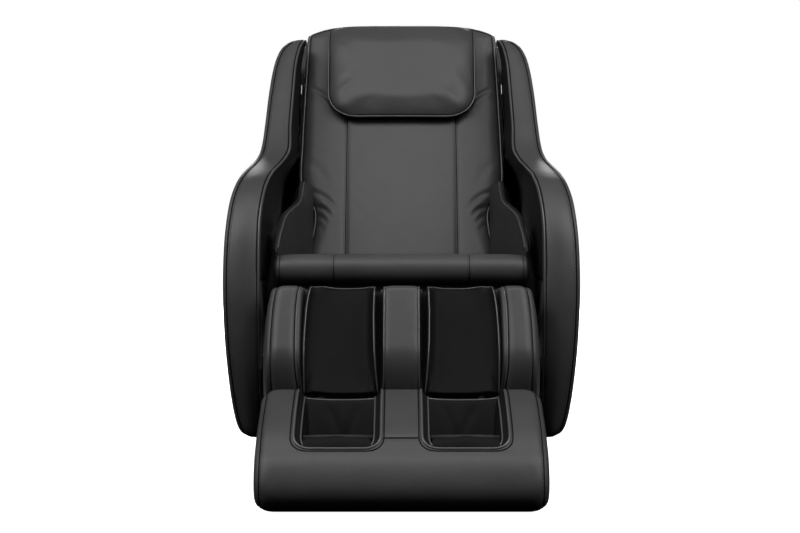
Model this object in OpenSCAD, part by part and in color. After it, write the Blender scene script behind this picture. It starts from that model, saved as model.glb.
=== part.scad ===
// Full-body massage chair: an upholstered shell on a steel frame, with a reclining
// back that carries a kneading carriage, a lifting leg rest and a sliding foot unit.
// Millimetres. +Z up, the sitter faces -Y, the origin is on the floor under the
// middle of the chair. "Left" is the -X side. All moving parts are at rest.

/* [Overall] */
// Clear width between the two side panels at seat height
inner_width = 616; // [612:2:624]
// Thickness of a side panel at armrest height
panel_thickness = 80.5; // [70:0.5:86]
// Height of the bottom edge of the side panels above the floor
panel_bottom = 81; // [78:1:90]

/* [Back] */
// Lean of the back from upright, in degrees
back_lean = 28; // [26:0.5:30]
// Distance of the back's pivot behind the origin
pivot_y = 195; // [193:1:197]
// Height of the back's pivot
pivot_z = 420; // [418:1:424]
// Length of the back cushion above the pivot
back_length = 714; // [708:1:718]
// Thickness of the back cushion
back_thickness = 52; // [48:1:52]

/* [Head pillow] */
// Half width of the head pillow
pillow_half_width = 193; // [180:1:200]
// Thickness of the head pillow
pillow_thickness = 48; // [40:1:50]

/* [Leg rest] */
// Lean of the leg rest from upright, in degrees
leg_lean = 25; // [24:0.5:26]
// Length of the calf pads
calf_length = 239; // [225:1:239]
// Half width over the calf pads
calf_half_width = 287; // [284:1:289]
// Half width of the middle calf pad
center_half_width = 40; // [34:1:42]

/* [Massage carriage] */
// Height of the kneading shaft along the back
carriage_height = 300; // [260:1:320]
// Radius of a massage roller
roller_radius = 30; // [27:0.5:30]
// Running clearance of shafts in bores
running_gap = 0.05; // [0.03:0.01:0.08]

/* [Hidden] */
$fn = 48;

leather = "#3a3b3e";
leather_dark = "#2c2d30";
plastic = "#26272a";
steel = "#6c7075";
bright = "#b9bcc0";
rubber = "#1d1d1f";

inner_half = inner_width / 2;
outer_half = inner_half + panel_thickness;

// Pivot lines and the leg rest's own directions
leg_pivot = [-235, 395];
leg_out = [-cos(leg_lean), sin(leg_lean)];
leg_down = [-sin(leg_lean), -cos(leg_lean)];

// Back frame depths, measured square to the back, towards the rear
cushion_front = -30;
cushion_rear = cushion_front + back_thickness;
shell_side_front = 28;
shell_depth = 190;
shell_half = 255;
flange_half = 261;
return_inner = 262.5;
shell_wall = 4;
shaft_depth = 116;
screw_depth = 77;

// Kneading carriage
roller_back = 54;
roller_spread = 55;
hub_radius = 16;
shaft_radius = 8;
axle_radius = 6;

// Actuators: base pivots (y, z) and what they push on
back_anchor = [0, 130];
back_lever = [120, 20];
leg_anchor = [-20, 110];
leg_lever = [-15, 60];
back_actuator_x = 70;
leg_actuator_x = -70;
actuator_pin_radius = 8;

// ---------------------------------------------------------------- helpers

function lerp(a, b, t) = a + (b - a) * t;

// Smooth curve through [position, value] pairs, read at one position
function knot(pts, x, i = 0) = (i >= len(pts) - 2 || x < pts[i + 1][0]) ? i : knot(pts, x, i + 1);
function rise(pts, i) =
  let (a = max(i - 1, 0), b = min(i + 1, len(pts) - 1))
  (pts[b][1] - pts[a][1]) / (pts[b][0] - pts[a][0]);
function curve(pts, x) =
  let (
    i = knot(pts, x),
    h = pts[i + 1][0] - pts[i][0],
    t = max(0, min(1, (x - pts[i][0]) / h)),
    a = pts[i][1],
    b = pts[i + 1][1]
  )
  (2 * t^3 - 3 * t^2 + 1) * a + (t^3 - 2 * t^2 + t) * h * rise(pts, i)
  + (3 * t^2 - 2 * t^3) * b + (t^3 - t^2) * h * rise(pts, i + 1);

// Closed solid through a stack of rings that all have the same number of points
module loft(rings) {
  m = len(rings[0]);
  n = len(rings);
  polyhedron(
    points = [for (r = rings) each r],
    faces = concat(
      [[for (j = [0:m - 1]) j]],
      [for (i = [0:n - 2]) for (j = [0:m - 1])
        [i * m + j, (i + 1) * m + j, (i + 1) * m + (j + 1) % m, i * m + (j + 1) % m]],
      [[for (j = [m - 1:-1:0]) (n - 1) * m + j]]
    )
  );
}

// Corner arc, counter-clockwise, as 2D points
function arc(c, r, from, steps) =
  [for (i = [0:steps]) c + r * [cos(from + 90 * i / steps), sin(from + 90 * i / steps)]];

// Box between two corners, given as ranges along x, y and z
module block(x, y, z) {
  translate([x[0], y[0], z[0]]) cube([x[1] - x[0], y[1] - y[0], z[1] - z[0]]);
}

// Rod along x, at [y, z]
module x_rod(r, x, at) {
  translate([x[0], at[0], at[1]]) rotate([0, 90, 0]) cylinder(r = r, h = x[1] - x[0]);
}

// A [y, z] outline pushed along x
module along_x(x) {
  translate([x[0], 0, 0]) rotate([90, 0, 90]) linear_extrude(x[1] - x[0]) children();
}

module both_sides() {
  children();
  mirror([1, 0, 0]) children();
}

// The back's own frame: y square to the back towards the rear, z up along the back
module on_back() {
  translate([0, pivot_y, pivot_z]) rotate([-back_lean, 0, 0]) children();
}

// The leg rest's own frame: y is minus the outward direction, z is minus the length
module on_leg() {
  translate([0, leg_pivot[0], leg_pivot[1]]) rotate([-leg_lean, 0, 0]) children();
}

// Box on the leg rest: ranges across, outwards and down its length
module leg_block(x, out, down) {
  block(x, [-out[1], -out[0]], [-down[1], -down[0]]);
}

function back_point(depth, up) = [
  pivot_y + up * sin(back_lean) + depth * cos(back_lean),
  pivot_z + up * cos(back_lean) - depth * sin(back_lean)
];
function leg_point(out, down) = leg_pivot + out * leg_out + down * leg_down;
function bearing(v) = atan2(v[1], v[0]);

// ---------------------------------------------------------------- base frame

module rubber_feet() {
  color(rubber)
  for (x = [-230, 230], y = [-150, 330])
    translate([x, y, 0]) {
      cylinder(r1 = 24, r2 = 27, h = 6);
      translate([0, 0, 6]) cylinder(r = 27, h = 24);
    }
}

rail_half = 230;
rail_size = 40;
tube_size = 30;

module floor_frame() {
  color(steel) {
    both_sides()
      difference() {
        block([rail_half - rail_size / 2, rail_half + rail_size / 2], [-180, 430], [30, 70]);
        x_rod(axle_radius, [200, 260], wheel_center);
      }
    for (y = [-150, 0, 300])
      block([-209.8, 209.8], [y - rail_size / 2, y + rail_size / 2], [30, 70]);
  }
}

module seat_frame() {
  color(steel)
  both_sides() {
    for (y = [-160, 130])
      block([215, 245], [y - tube_size / 2, y + tube_size / 2], [70.2, 329.8]);
    block([215, 245], [-190, 150], [330, 360]);
  }
}

module equipment_tray() {
  color(steel)
  difference() {
    block([-249, 249], [170, 430], [70.2, 80]);
    block([-247, 247], [172, 428], [72.2, 81]);
  }
}

plate_inner = 258;
plate_outer = 264;
pin_radius = 8;
hinge_eye = 26;
leg_eye = 18;

// Side plates of the back hinge and of the leg rest hinge, welded on through spacers
module hinge_plates() {
  color(steel)
  both_sides() {
    difference() {
      union() {
        along_x([plate_inner, plate_outer])
          polygon([[60, 330], [140, 330], [215, 405], [172, 432], [136, 366], [60, 362]]);
        x_rod(hinge_eye, [plate_inner, plate_outer], [pivot_y, pivot_z]);
        block([245.2, plate_inner + 1], [60, 140], [330, 360]);
      }
      x_rod(pin_radius, [240, 270], [pivot_y, pivot_z]);
    }
    difference() {
      union() {
        along_x([plate_inner, plate_outer])
          polygon([[-120, 330], [-205, 330], [-248, 382], [-230, 412], [-165, 362], [-120, 362]]);
        x_rod(leg_eye, [plate_inner, plate_outer], leg_pivot);
        block([245.2, plate_inner + 1], [-185, -120], [330, 360]);
      }
      x_rod(pin_radius, [240, 270], leg_pivot);
    }
  }
}

// Headed pins of both hinges
module hinge_pins() {
  color(bright)
  both_sides()
    for (pin = [[[pivot_y, pivot_z], 239.4], [leg_pivot, 246.4]]) {
      x_rod(pin_radius, [pin[1], plate_outer + 0.2], pin[0]);
      x_rod(pin_radius + 4, [plate_outer + 0.2, plate_outer + 3], pin[0]);
      x_rod(pin_radius + 3, [pin[1], pin[1] + 2.4], pin[0]);
    }
}

module arm_brackets() {
  color(steel)
  both_sides()
    for (y = [-160, 130])
      difference() {
        union() {
          block([245.3, 304.5], [y - 15, y + 15], [200, 240]);
          block([303.5, 307.4], [y - 32, y + 32], [180, 260]);
        }
        for (z = [190, 250])
          x_rod(4.2, [300, 310], [y, z]);
      }
}

// Hexagon-headed bolts through the brackets into the side panels
module arm_bolts() {
  color(bright)
  both_sides()
    for (y = [-160, 130], z = [190, 250]) {
      x_rod(4, [303, 338], [y, z]);
      translate([297.8, y, z]) rotate([0, 90, 0]) cylinder(r = 7.5, h = 5.4, $fn = 6);
    }
}

// Ears on the middle floor tube that hold the lower ends of the two actuators
module actuator_brackets() {
  color(steel) {
    for (side = [-1, 1]) {
      x = back_actuator_x + side * 28;
      along_x([x - 3, x + 3])
        polygon([[-19, 70.2], [19, 70.2], [14, 142], [-14, 142]]);
    }
    x_rod(actuator_pin_radius, [back_actuator_x - 25, back_actuator_x + 25], back_anchor);
    for (side = [-1, 1]) {
      x = leg_actuator_x + side * 28;
      along_x([x - 3, x + 3])
        polygon([[-19.5, 70.2], [19, 70.2], [-6, 124], [-34, 124], [-36, 105]]);
    }
  }
}

// ---------------------------------------------------------------- side panels

// Front edge, outer face, inner face and rear edge of a side panel against height
panel_front = [
  [81, -188], [95, -198], [125, -209], [180, -226], [250, -242], [330, -250], [420, -250],
  [510, -235], [570, -210], [620, -172], [650, -132], [668, -80], [682, -20], [700, 50],
  [725, 108], [780, 165], [870, 240], [940, 293], [980, 325], [1000, 350], [1007, 372]
];
panel_outer = [
  [81, -50], [90, -35], [110, -24.5], [160, -15.5], [230, -8.5], [320, -2.5], [420, 0],
  [510, -1.5], [570, -5.5], [620, -12.5], [668, -28.5], [700, -46.5], [725, -52.5],
  [780, -56.5], [870, -61.5], [940, -70.5], [980, -84.5], [1000, -104.5], [1007, -121.5]
];
panel_inner = [
  [81, 4], [110, 0], [510, 1], [570, 0], [620, -5], [650, -11], [668, -17], [700, -35],
  [725, -43], [780, -41], [870, -43], [940, -46], [980, -53], [1000, -60], [1007, -64]
];
panel_rear = [
  [81, 390], [110, 405], [230, 422], [420, 446], [620, 463], [870, 480], [940, 480],
  [980, 470], [1000, 452], [1007, 432]
];
panel_levels = [
  81, 84, 90, 100, 112, 135, 160, 200, 250, 310, 370, 430, 490, 540, 580, 612, 636, 654,
  668, 682, 700, 716, 736, 765, 810, 860, 905, 940, 965, 982, 994, 1002, 1007
];

function panel_ring(z) =
  let (
    y0 = curve(panel_front, z),
    y1 = curve(panel_rear, z),
    x0 = inner_half + curve(panel_inner, z),
    x1 = outer_half + curve(panel_outer, z),
    r = min(12, (x1 - x0) / 2 - 0.2, (y1 - y0) / 2 - 0.2)
  )
  [for (p = concat(
      arc([x1 - r, y1 - r], r, 0, 3),
      arc([x0 + r, y1 - r], r, 90, 3),
      arc([x0 + r, y0 + r], r, 180, 4),
      arc([x1 - r, y0 + r], r, 270, 4)
    )) [p[0], p[1], z]];

module side_panel() {
  lift = panel_bottom - panel_levels[0];
  color(leather)
  loft([for (z = panel_levels) [for (p = panel_ring(z)) p + [0, 0, lift * (1007 - z) / 926]]]);
}

module right_arm() {
  side_panel();
}

module left_arm() {
  mirror([1, 0, 0]) side_panel();
}

// Padded strips on the side panels' inner faces that close the gaps beside the back
module arm_returns() {
  color(leather_dark)
  both_sides()
  loft([
    for (z = [300, 330, 430, 490, 540, 580, 612, 636, 654, 668, 682, 700, 712])
      let (x1 = inner_half + curve(panel_inner, z) - 0.8, y1 = curve(panel_rear, z) - 8)
      [[return_inner, y1 - 24, z], [x1, y1 - 24, z], [x1, y1, z], [return_inner, y1, z]]
  ]);
}

// ---------------------------------------------------------------- seat

module seat_board() {
  color("#8a6f4e")
  difference() {
    block([-256, 256], [-186, 128], [360.2, 372]);
    for (x = [-120, 0, 120])
      translate([x, -20, 350]) cylinder(r = 14, h = 30);
  }
}

seat_half = [[-143, 271], [-60, 262], [40, 244], [150, 220]];
seat_top = [[-143, 474], [-120, 477], [-40, 464], [40, 446], [150, 428]];

function seat_ring(y, inset) =
  let (w = curve(seat_half, y) - inset, top = curve(seat_top, y) - inset, r = 22)
  [
    [-w, y, 372.2 + inset], [-w, y, top - r], [-w + r * 0.3, y, top - r * 0.3],
    [-w + r, y, top], [0, y, top + 3], [w - r, y, top], [w - r * 0.3, y, top - r * 0.3],
    [w, y, top - r], [w, y, 372.2 + inset]
  ];

module seat_cushion() {
  color(leather_dark)
  loft([
    seat_ring(-142, 6), seat_ring(-134, 1), seat_ring(-90, 0), seat_ring(-30, 0),
    seat_ring(30, 0), seat_ring(90, 0), seat_ring(128, 1), seat_ring(138, 8)
  ]);
}

roll_center = [-180, 453];
roll_radius = 34;
roll_half = 283;

// Rolled front edge of the seat, with rounded ends
module seat_front_roll() {
  r = 16;
  color(leather)
  translate([0, roll_center[0], roll_center[1]]) rotate([0, 90, 0])
    rotate_extrude()
      polygon(concat(
        [[0, -roll_half]],
        [for (i = [0:5]) [roll_radius - r + r * sin(18 * i), -roll_half + r - r * cos(18 * i)]],
        [for (i = [0:5]) [roll_radius - r + r * cos(18 * i), roll_half - r + r * sin(18 * i)]],
        [[0, roll_half]]
      ));
}

// Padded wall beside the hips: rim height, rim faces and foot against depth
bolster_top = [
  [-165, 440], [-150, 480], [-120, 512], [-85, 535], [-50, 552], [-10, 567], [40, 580],
  [100, 593], [150, 604], [195, 621], [225, 640], [268, 650]
];
bolster_out = [[-165, 286], [-50, 283], [0, 280], [60, 270], [110, 260], [150, 256], [268, 254]];
bolster_in = [[-165, 275], [-60, 266], [40, 248], [150, 224], [268, 222]];

// Front plane of the back cushion, with a small gap, gives the bolster its sloping rear
function bolster_foot(y) =
  let (p = back_point(cushion_front - 3, 0))
  max(374, p[1] + (y - p[0]) * cos(back_lean) / sin(back_lean));

function bolster_ring(y, inset) =
  let (
    top = curve(bolster_top, y) - inset,
    foot = min(bolster_foot(y) + inset, top - 4),
    x0 = curve(bolster_in, y) + inset,
    x1 = curve(bolster_out, y) - inset,
    r = min(7, (x1 - x0) / 2 - 0.5, (top - foot) / 3),
    out = min(302 - inset, x1 + (top - foot) * 0.2)
  )
  [
    [x0, y, foot], [x0, y, lerp(foot, top, 0.5)], [lerp(x0, x1 - 2 * r, 0.35), y, top - r],
    [x1 - 1.6 * r, y, top - 0.25 * r], [x1 - r, y, top], [x1 - 0.3 * r, y, top - 0.3 * r],
    [x1, y, top - r], [out, y, lerp(foot, top, 0.4)], [out, y, foot]
  ];

module hip_bolster() {
  color(leather_dark)
  loft([
    for (s = [[-144, 3], [-138, 0], [-124, 0], [-104, 0], [-80, 0], [-40, 0],
      [0, 0], [50, 0], [100, 0], [140, 0], [175, 0], [205, 0], [235, 0], [258, 0], [266, 2]])
      bolster_ring(s[0], s[1])
  ]);
}

module right_hip_bolster() {
  hip_bolster();
}

module left_hip_bolster() {
  mirror([1, 0, 0]) hip_bolster();
}

// ---------------------------------------------------------------- equipment in the base

cover_rear = 440;
cover_wall = 3;

module cover_outline(inset) {
  polygon([
    [302 + inset, 30], [302 + inset, 226 - inset], [330, 250 - inset], [420, 290 - inset],
    [434 - inset, 286 - inset], [cover_rear - inset, 272], [cover_rear - inset, 30]
  ]);
}

// Moulded cover between the side panels, with a window for the mains panel
module rear_base_cover() {
  color(plastic)
  difference() {
    along_x([-254, 254]) cover_outline(0);
    along_x([-251, 251]) cover_outline(cover_wall);
    block([-260, 260], [290, 450], [20, 80.6]);
    block([112, 212], [430, 450], [112, 158]);
    for (i = [0:9])
      block([-190 + 24 * i, -178 + 24 * i], [430, 450], [120, 170]);
  }
}

module control_box() {
  color(plastic) {
    block([-200, -20], [310, 420], [80.2, 150]);
    for (i = [0:5])
      block([-190 + 28 * i, -174 + 28 * i], [306, 310.5], [92, 138]);
  }
}

// Twin-cylinder air pump with its valve block
module air_pump() {
  color(steel) {
    block([0, 92], [310, 420], [80.2, 100]);
    for (y = [338, 392])
      x_rod(24, [4, 88], [y, 124]);
    block([-12, 104], [200, 280], [80.2, 112]);
    for (i = [0:4])
      translate([2 + 22 * i, 240, 112]) cylinder(r = 6, h = 16);
  }
}

// Mains panel: plate, inlet socket with three flat pins, and the switch's housing
module inlet_panel() {
  color(plastic) {
    difference() {
      union() {
        block([106, 218], [cover_rear, cover_rear + 3], [104, 166]);
        block([122, 156], [416, cover_rear + 3], [122, 148]);
        block([174, 198], [422, cover_rear + 3], [120, 150]);
      }
      block([125, 153], [422, cover_rear + 4], [125, 145]);
      block([178, 194], [426, cover_rear + 4], [123.4, 146.6]);
      for (x = [112, 212], z = [110, 160])
        translate([x, cover_rear - 1, z]) rotate([-90, 0, 0]) cylinder(r = 1.7, h = 5);
    }
    for (p = [[139, 139], [131.5, 131], [146.5, 131]])
      block([p[0] - 1, p[0] + 1], [421, cover_rear - 3], [p[1] - 3, p[1] + 3]);
  }
}

switch_pivot = [437, 135];
switch_tilt = 7;

module rocker_switch() {
  color(rubber)
  translate([0, switch_pivot[0], switch_pivot[1]]) rotate([-switch_tilt, 0, 0])
    along_x([178.6, 193.4])
      polygon([[-6, -10], [5, -10], [2.6, 0], [5, 10], [-6, 10]]);
}

wheel_center = [405, 42];
wheel_radius = 35;

module wheel_axle() {
  color(bright) {
    x_rod(axle_radius, [-288, 288], wheel_center);
    both_sides()
      x_rod(axle_radius + 3, [286, 290], wheel_center);
  }
}

module wheel() {
  color(rubber)
  translate([258, wheel_center[0], wheel_center[1]]) rotate([0, 90, 0])
    rotate_extrude($fn = 64)
      polygon([
        [axle_radius + running_gap, 0], [14, 0], [16, 5], [24, 5], [27, 0], [31, 0],
        [wheel_radius, 4], [wheel_radius, 22], [31, 26], [27, 26], [24, 21], [16, 21],
        [14, 26], [axle_radius + running_gap, 26]
      ]);
}

module right_wheel() {
  wheel();
}

module left_wheel() {
  mirror([1, 0, 0]) wheel();
}

// ---------------------------------------------------------------- reclining back

module back_frame() {
  color(steel)
  on_back() {
    both_sides() {
      block([192, 218], [30, 60], [-10, 684]);
      difference() {
        union() {
          block([218.2, 248], [30, 60], [-14, 24]);
          along_x([242, 248])
            polygon([[-16, -16], [36, -18], [60, -14], [60, 24], [36, 26], [-4, 24]]);
          x_rod(22, [242, 248], [0, 0]);
        }
        x_rod(pin_radius + running_gap, [230, 260], [0, 0]);
      }
    }
    for (up = [19, 670])
      block([-191.8, 191.8], [30, 60], [up - 14, up + 14]);
    // Fork that the recline actuator pushes on
    for (side = [-1, 1]) {
      x = back_actuator_x + side * 18;
      along_x([x - 3, x + 3])
        polygon([[60.2, 6], [60.2, 32], [112, 34], [132, 26], [132, 10], [118, 6]]);
    }
    x_rod(actuator_pin_radius, [back_actuator_x - 24, back_actuator_x + 24], back_lever);
  }
}

rail_inner = 132;
rail_depth = [62, 92];

// Two facing C channels that guide the carriage's runners
module guide_rails() {
  color(bright)
  on_back() both_sides()
    difference() {
      block([rail_inner, rail_inner + 28], rail_depth, [8, 684]);
      block([rail_inner + 4, rail_inner + 24], [67, 87], [0, 700]);
      block([rail_inner - 1, rail_inner + 5], [71, 83], [0, 700]);
    }
}

// Half width of the back cushion against height, and its crowned top edge
cushion_half = [
  [15, 226], [40, 233], [100, 222], [158, 219], [205, 240], [245, 256], [340, 256.5],
  [491, 253], [600, 249.5], [690, 246]
];
function crown(x) = back_length - 33 * (abs(x) / 246) ^ 4.6;

// Outline of the back cushion, pulled in by an inset, clockwise seen from the rear
function cushion_ring(depth, inset) =
  let (
    low = 15 + inset,
    high = crown(246) - inset,
    steps = 18,
    half = [for (i = [0:steps]) let (s = lerp(low, high, i / steps)) [curve(cushion_half, s) - inset, s]],
    top = half[steps][0]
  )
  concat(
    [for (i = [0:steps]) [-half[i][0], depth, half[i][1]]],
    [for (i = [1:9]) let (x = lerp(-top, top, i / 10)) [x, depth, crown(x) - inset]],
    [for (i = [steps:-1:0]) [half[i][0], depth, half[i][1]]]
  );

module back_cushion() {
  color(leather)
  on_back()
    loft([
      cushion_ring(cushion_front, 20), cushion_ring(cushion_front + 2, 11),
      cushion_ring(cushion_front + 8, 4), cushion_ring(cushion_front + 18, 0.5),
      cushion_ring(cushion_front + 28, 0), cushion_ring(cushion_rear - 10, 2),
      cushion_ring(cushion_rear, 10)
    ]);
}

// Depth outline of the rear shell, seen from the side
module shell_side(inset) {
  r = 90 - inset;
  polygon(concat(
    [[shell_side_front, 52 + inset], [70, 52 + inset], [70 + inset, 0], [shell_depth - inset, 0]],
    [for (i = [0:8]) [shell_depth - 90 + r * cos(11.25 * i), 618 + r * sin(11.25 * i)]],
    [[shell_side_front, 690 - inset]]
  ));
}

// Width outline of the rear shell, seen from above
module shell_plan(inset) {
  half = shell_half - inset;
  r = 60 - inset;
  polygon(concat(
    [[-half, shell_side_front], [half, shell_side_front]],
    [for (i = [0:6]) [half - r + r * cos(15 * i), shell_depth - inset - r + r * sin(15 * i)]],
    [for (i = [6:-1:0]) [-half + r - r * cos(15 * i), shell_depth - inset - r + r * sin(15 * i)]]
  ));
}

module shell_body(inset) {
  intersection() {
    along_x([-shell_half + inset, shell_half - inset]) shell_side(inset);
    linear_extrude(760) shell_plan(inset);
  }
}

// Rear shell, open towards the cushion and at the bottom, with a flange along each side
module back_shell() {
  color(plastic)
  on_back() {
    difference() {
      shell_body(0);
      shell_body(shell_wall);
      block([-shell_half + shell_wall, shell_half - shell_wall], [20, 110], [-1, 690]);
      linear_extrude(30, center = true) shell_plan(shell_wall);
    }
    both_sides() {
      block([shell_half - 3, flange_half], [shell_side_front, shell_side_front + 4], [80, 561]);
      block([shell_half - 3, flange_half + 2], [shell_side_front, shell_side_front + 4], [560, 672]);
    }
  }
}

// Gear motor at the foot of the screw, and the screw's upper bearing
module travel_motor() {
  color(steel)
  on_back() {
    translate([0, screw_depth + 24, -6]) cylinder(r = 26, h = 42);
    difference() {
      block([-30, 30], [61, 130], [36.2, 44]);
      translate([0, screw_depth, 30]) cylinder(r = shaft_radius + running_gap, h = 20);
    }
    difference() {
      block([-20, 20], [60.2, 96], [668, 684]);
      translate([0, screw_depth, 660]) cylinder(r = shaft_radius + running_gap, h = 30);
    }
  }
}

module lead_screw() {
  color(bright)
  on_back() {
    translate([0, screw_depth, 38]) cylinder(r = shaft_radius, h = 645);
    translate([0, screw_depth, 44.4]) cylinder(r = shaft_radius + 4, h = 4);
  }
}

// ---------------------------------------------------------------- kneading carriage

module on_carriage() {
  on_back() translate([0, 0, carriage_height]) children();
}

// Two side plates, a rear plate and a lower plate that holds the screw's nut
module carriage_frame() {
  color(steel)
  on_carriage()
    difference() {
      union() {
        both_sides()
          block([120, 126], [62, 150], [-75, 75]);
        block([-126, 126], [146, 150], [-75, 75]);
        block([-126, 126], [104, 150], [-75, -70]);
        block([-22, 22], [57, 106], [-75, -70]);
        translate([0, screw_depth, -75]) cylinder(r = 17, h = 28);
      }
      translate([0, screw_depth, -80]) cylinder(r = shaft_radius + running_gap, h = 40);
      x_rod(shaft_radius + running_gap, [-130, 130], [shaft_depth, 0]);
      block([-70, 70], [140, 155], [10, 55]);
    }
}

// Runners on stub shafts, two in each guide rail
module carriage_runners() {
  color(rubber)
  on_carriage() both_sides()
    for (up = [-50, 50]) {
      x_rod(5, [126, rail_inner + 6], [77, up]);
      x_rod(9.8, [rail_inner + 6, rail_inner + 22], [77, up]);
    }
}

// Motor slung below the kneading shaft, with its gear case round the shaft
module kneading_motor() {
  color(steel)
  on_carriage() {
    x_rod(22, [-56, 38], [122, -43]);
    difference() {
      block([38, 56], [97, 145.6], [-68, 20]);
      x_rod(shaft_radius + running_gap, [30, 60], [shaft_depth, 0]);
    }
  }
}

module kneading_shaft() {
  color(bright)
  on_carriage() {
    x_rod(shaft_radius, [-134, 134], [shaft_depth, 0]);
    both_sides() {
      x_rod(hub_radius, [97, 111], [shaft_depth, 0]);
      x_rod(hub_radius + 5, [111, 114], [shaft_depth, 0]);
      x_rod(hub_radius + 5, [94, 97], [shaft_depth, 0]);
    }
  }
}

// Rocking arm: a plate round the shaft's hub with two studs for the rollers
module massage_arm() {
  reach = sqrt(roller_back^2 + roller_spread^2);
  swing = atan2(roller_spread, roller_back);
  color(plastic)
  on_carriage() translate([0, shaft_depth, 0]) {
    difference() {
      union() {
        x_rod(25, [100, 108], [0, 0]);
        for (side = [-1, 1]) {
          rotate([side * swing, 0, 0]) block([101, 107], [-reach, -12], [-10, 10]);
          x_rod(13, [100, 108], [-roller_back, -side * roller_spread]);
        }
      }
      x_rod(hub_radius + running_gap, [90, 120], [0, 0]);
    }
    for (side = [-1, 1]) {
      x_rod(axle_radius, [58, 101], [-roller_back, side * roller_spread]);
      x_rod(axle_radius + 3, [56, 58], [-roller_back, side * roller_spread]);
    }
  }
}

module right_massage_arm() {
  massage_arm();
}

module left_massage_arm() {
  mirror([1, 0, 0]) massage_arm();
}

// Round-edged roller; level is 1 for the upper and -1 for the lower one
module massage_roller(level) {
  edge = 14;
  inner = axle_radius + running_gap;
  color("#4a3b33")
  on_carriage()
    translate([60, shaft_depth - roller_back, level * roller_spread]) rotate([0, 90, 0])
      rotate_extrude()
        polygon(concat(
          [[inner, 0]],
          [for (i = [0:6]) [roller_radius - edge + edge * sin(15 * i), edge - edge * cos(15 * i)]],
          [for (i = [0:6]) [roller_radius - edge + edge * cos(15 * i), 36 - edge + edge * sin(15 * i)]],
          [[inner, 36]]
        ));
}

module right_upper_roller() {
  massage_roller(1);
}

module right_lower_roller() {
  massage_roller(-1);
}

module left_upper_roller() {
  mirror([1, 0, 0]) massage_roller(1);
}

module left_lower_roller() {
  mirror([1, 0, 0]) massage_roller(-1);
}

// ---------------------------------------------------------------- head pillow

pillow_low = 402;
pillow_high = 690;
pillow_rear = cushion_front - 2;

// Outline of the pillow with two round lower corners, clockwise seen from the rear
function pillow_ring(depth, inset) =
  let (
    w = pillow_half_width - inset,
    low = pillow_low + inset,
    high = pillow_high - inset,
    r = 66 - inset / 2,
    right = arc([w - r, low + r], r, 270, 6),
    left = arc([-w + r, low + r], r, 180, 6)
  )
  concat(
    [for (i = [6:-1:0]) [left[i][0], depth, left[i][1]]],
    [[-w, depth, lerp(low, high, 0.6)], [-w, depth, high - 12], [-w + 12, depth, high]],
    [[0, depth, high + 1], [w - 12, depth, high], [w, depth, high - 12]],
    [[w, depth, lerp(low, high, 0.6)]],
    [for (i = [6:-1:0]) [right[i][0], depth, right[i][1]]]
  );

module head_pillow() {
  front = pillow_rear - pillow_thickness;
  color(leather)
  on_back()
    loft([
      pillow_ring(front, 34), pillow_ring(front + 3, 18), pillow_ring(front + 12, 6),
      pillow_ring(front + 26, 0), pillow_ring(pillow_rear - 8, 1), pillow_ring(pillow_rear, 8)
    ]);
}

// ---------------------------------------------------------------- leg rest

slide_rod_x = 170;
slide_rod_radius = 10;
slide_rod_out = 8;

module leg_frame() {
  color(steel)
  on_leg() {
    both_sides() {
      leg_block([228, 242], [2, 20], [-12, 226]);
      difference() {
        union() {
          leg_block([242.2, 253], [-12, 18], [-10, 70]);
          x_rod(18, [249, 253], [0, 0]);
        }
        x_rod(pin_radius + running_gap, [230, 260], [0, 0]);
        leg_block([230, 249], [-30, 30], [-20, 30]);
      }
    }
    difference() {
      leg_block([-227.8, 227.8], [-6, 20], [94, 110]);
      both_sides()
        translate([slide_rod_x, -slide_rod_out, -120])
          cylinder(r = slide_rod_radius + 1, h = 60);
    }
    // Two bars with bushings for the foot unit's slide rods
    for (down = [130, 206])
      difference() {
        leg_block([-227.8, 227.8], [-6, 20], [down, down + 20]);
        both_sides()
          translate([slide_rod_x, -slide_rod_out, -down - 30])
            cylinder(r = slide_rod_radius + running_gap, h = 40);
      }
    // Fork that the leg actuator pushes on
    for (side = [-1, 1]) {
      x = leg_actuator_x + side * 18;
      along_x([x - 3, x + 3])
        polygon([[-6, -93.8], [0, -50], [10, -44], [24, -50], [26, -72], [6, -93.8]]);
    }
    x_rod(
      actuator_pin_radius,
      [leg_actuator_x - 24, leg_actuator_x + 24],
      [-leg_lever[0], -leg_lever[1]]
    );
  }
}

pad_back = 22;
pad_front = 82;
pad_top = -9;

// Ring of a calf pad at one distance outwards; across is [low x, high x]
function calf_ring(out, across, inset, r) =
  let (
    x0 = across[0] + inset,
    x1 = across[1] - inset,
    z0 = -(pad_top + calf_length) + inset,
    z1 = -pad_top - inset,
    ring = concat(
      arc([x1 - r, z1 - r], r, 0, 4), arc([x0 + r, z1 - r], r, 90, 4),
      arc([x0 + r, z0 + r], r, 180, 4), arc([x1 - r, z0 + r], r, 270, 4)
    )
  )
  [for (p = ring) [p[0], -out, p[1]]];

// Padded block with rounded edges, from the back plane to the front plane
module calf_block(across) {
  loft([
    calf_ring(pad_front, across, 12, 8), calf_ring(pad_front - 4, across, 4, 12),
    calf_ring(pad_front - 14, across, 0, 12), calf_ring(pad_back + 6, across, 0, 12),
    calf_ring(pad_back, across, 3, 10)
  ]);
}

module calf_pad() {
  color(leather)
  on_leg() calf_block([206, calf_half_width]);
}

module right_calf_pad() {
  calf_pad();
}

module left_calf_pad() {
  mirror([1, 0, 0]) calf_pad();
}

module center_calf_pad() {
  color(leather)
  on_leg() calf_block([-center_half_width, center_half_width]);
}

module calf_back_pads() {
  color(leather_dark)
  on_leg() both_sides()
    leg_block(
      [center_half_width + 0.5, 205.5],
      [pad_back, pad_back + 11],
      [pad_top + 4, pad_top + calf_length - 2]
    );
}

shell_start = 112;
shell_end = 226;
leg_shell_depth = -34;

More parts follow.
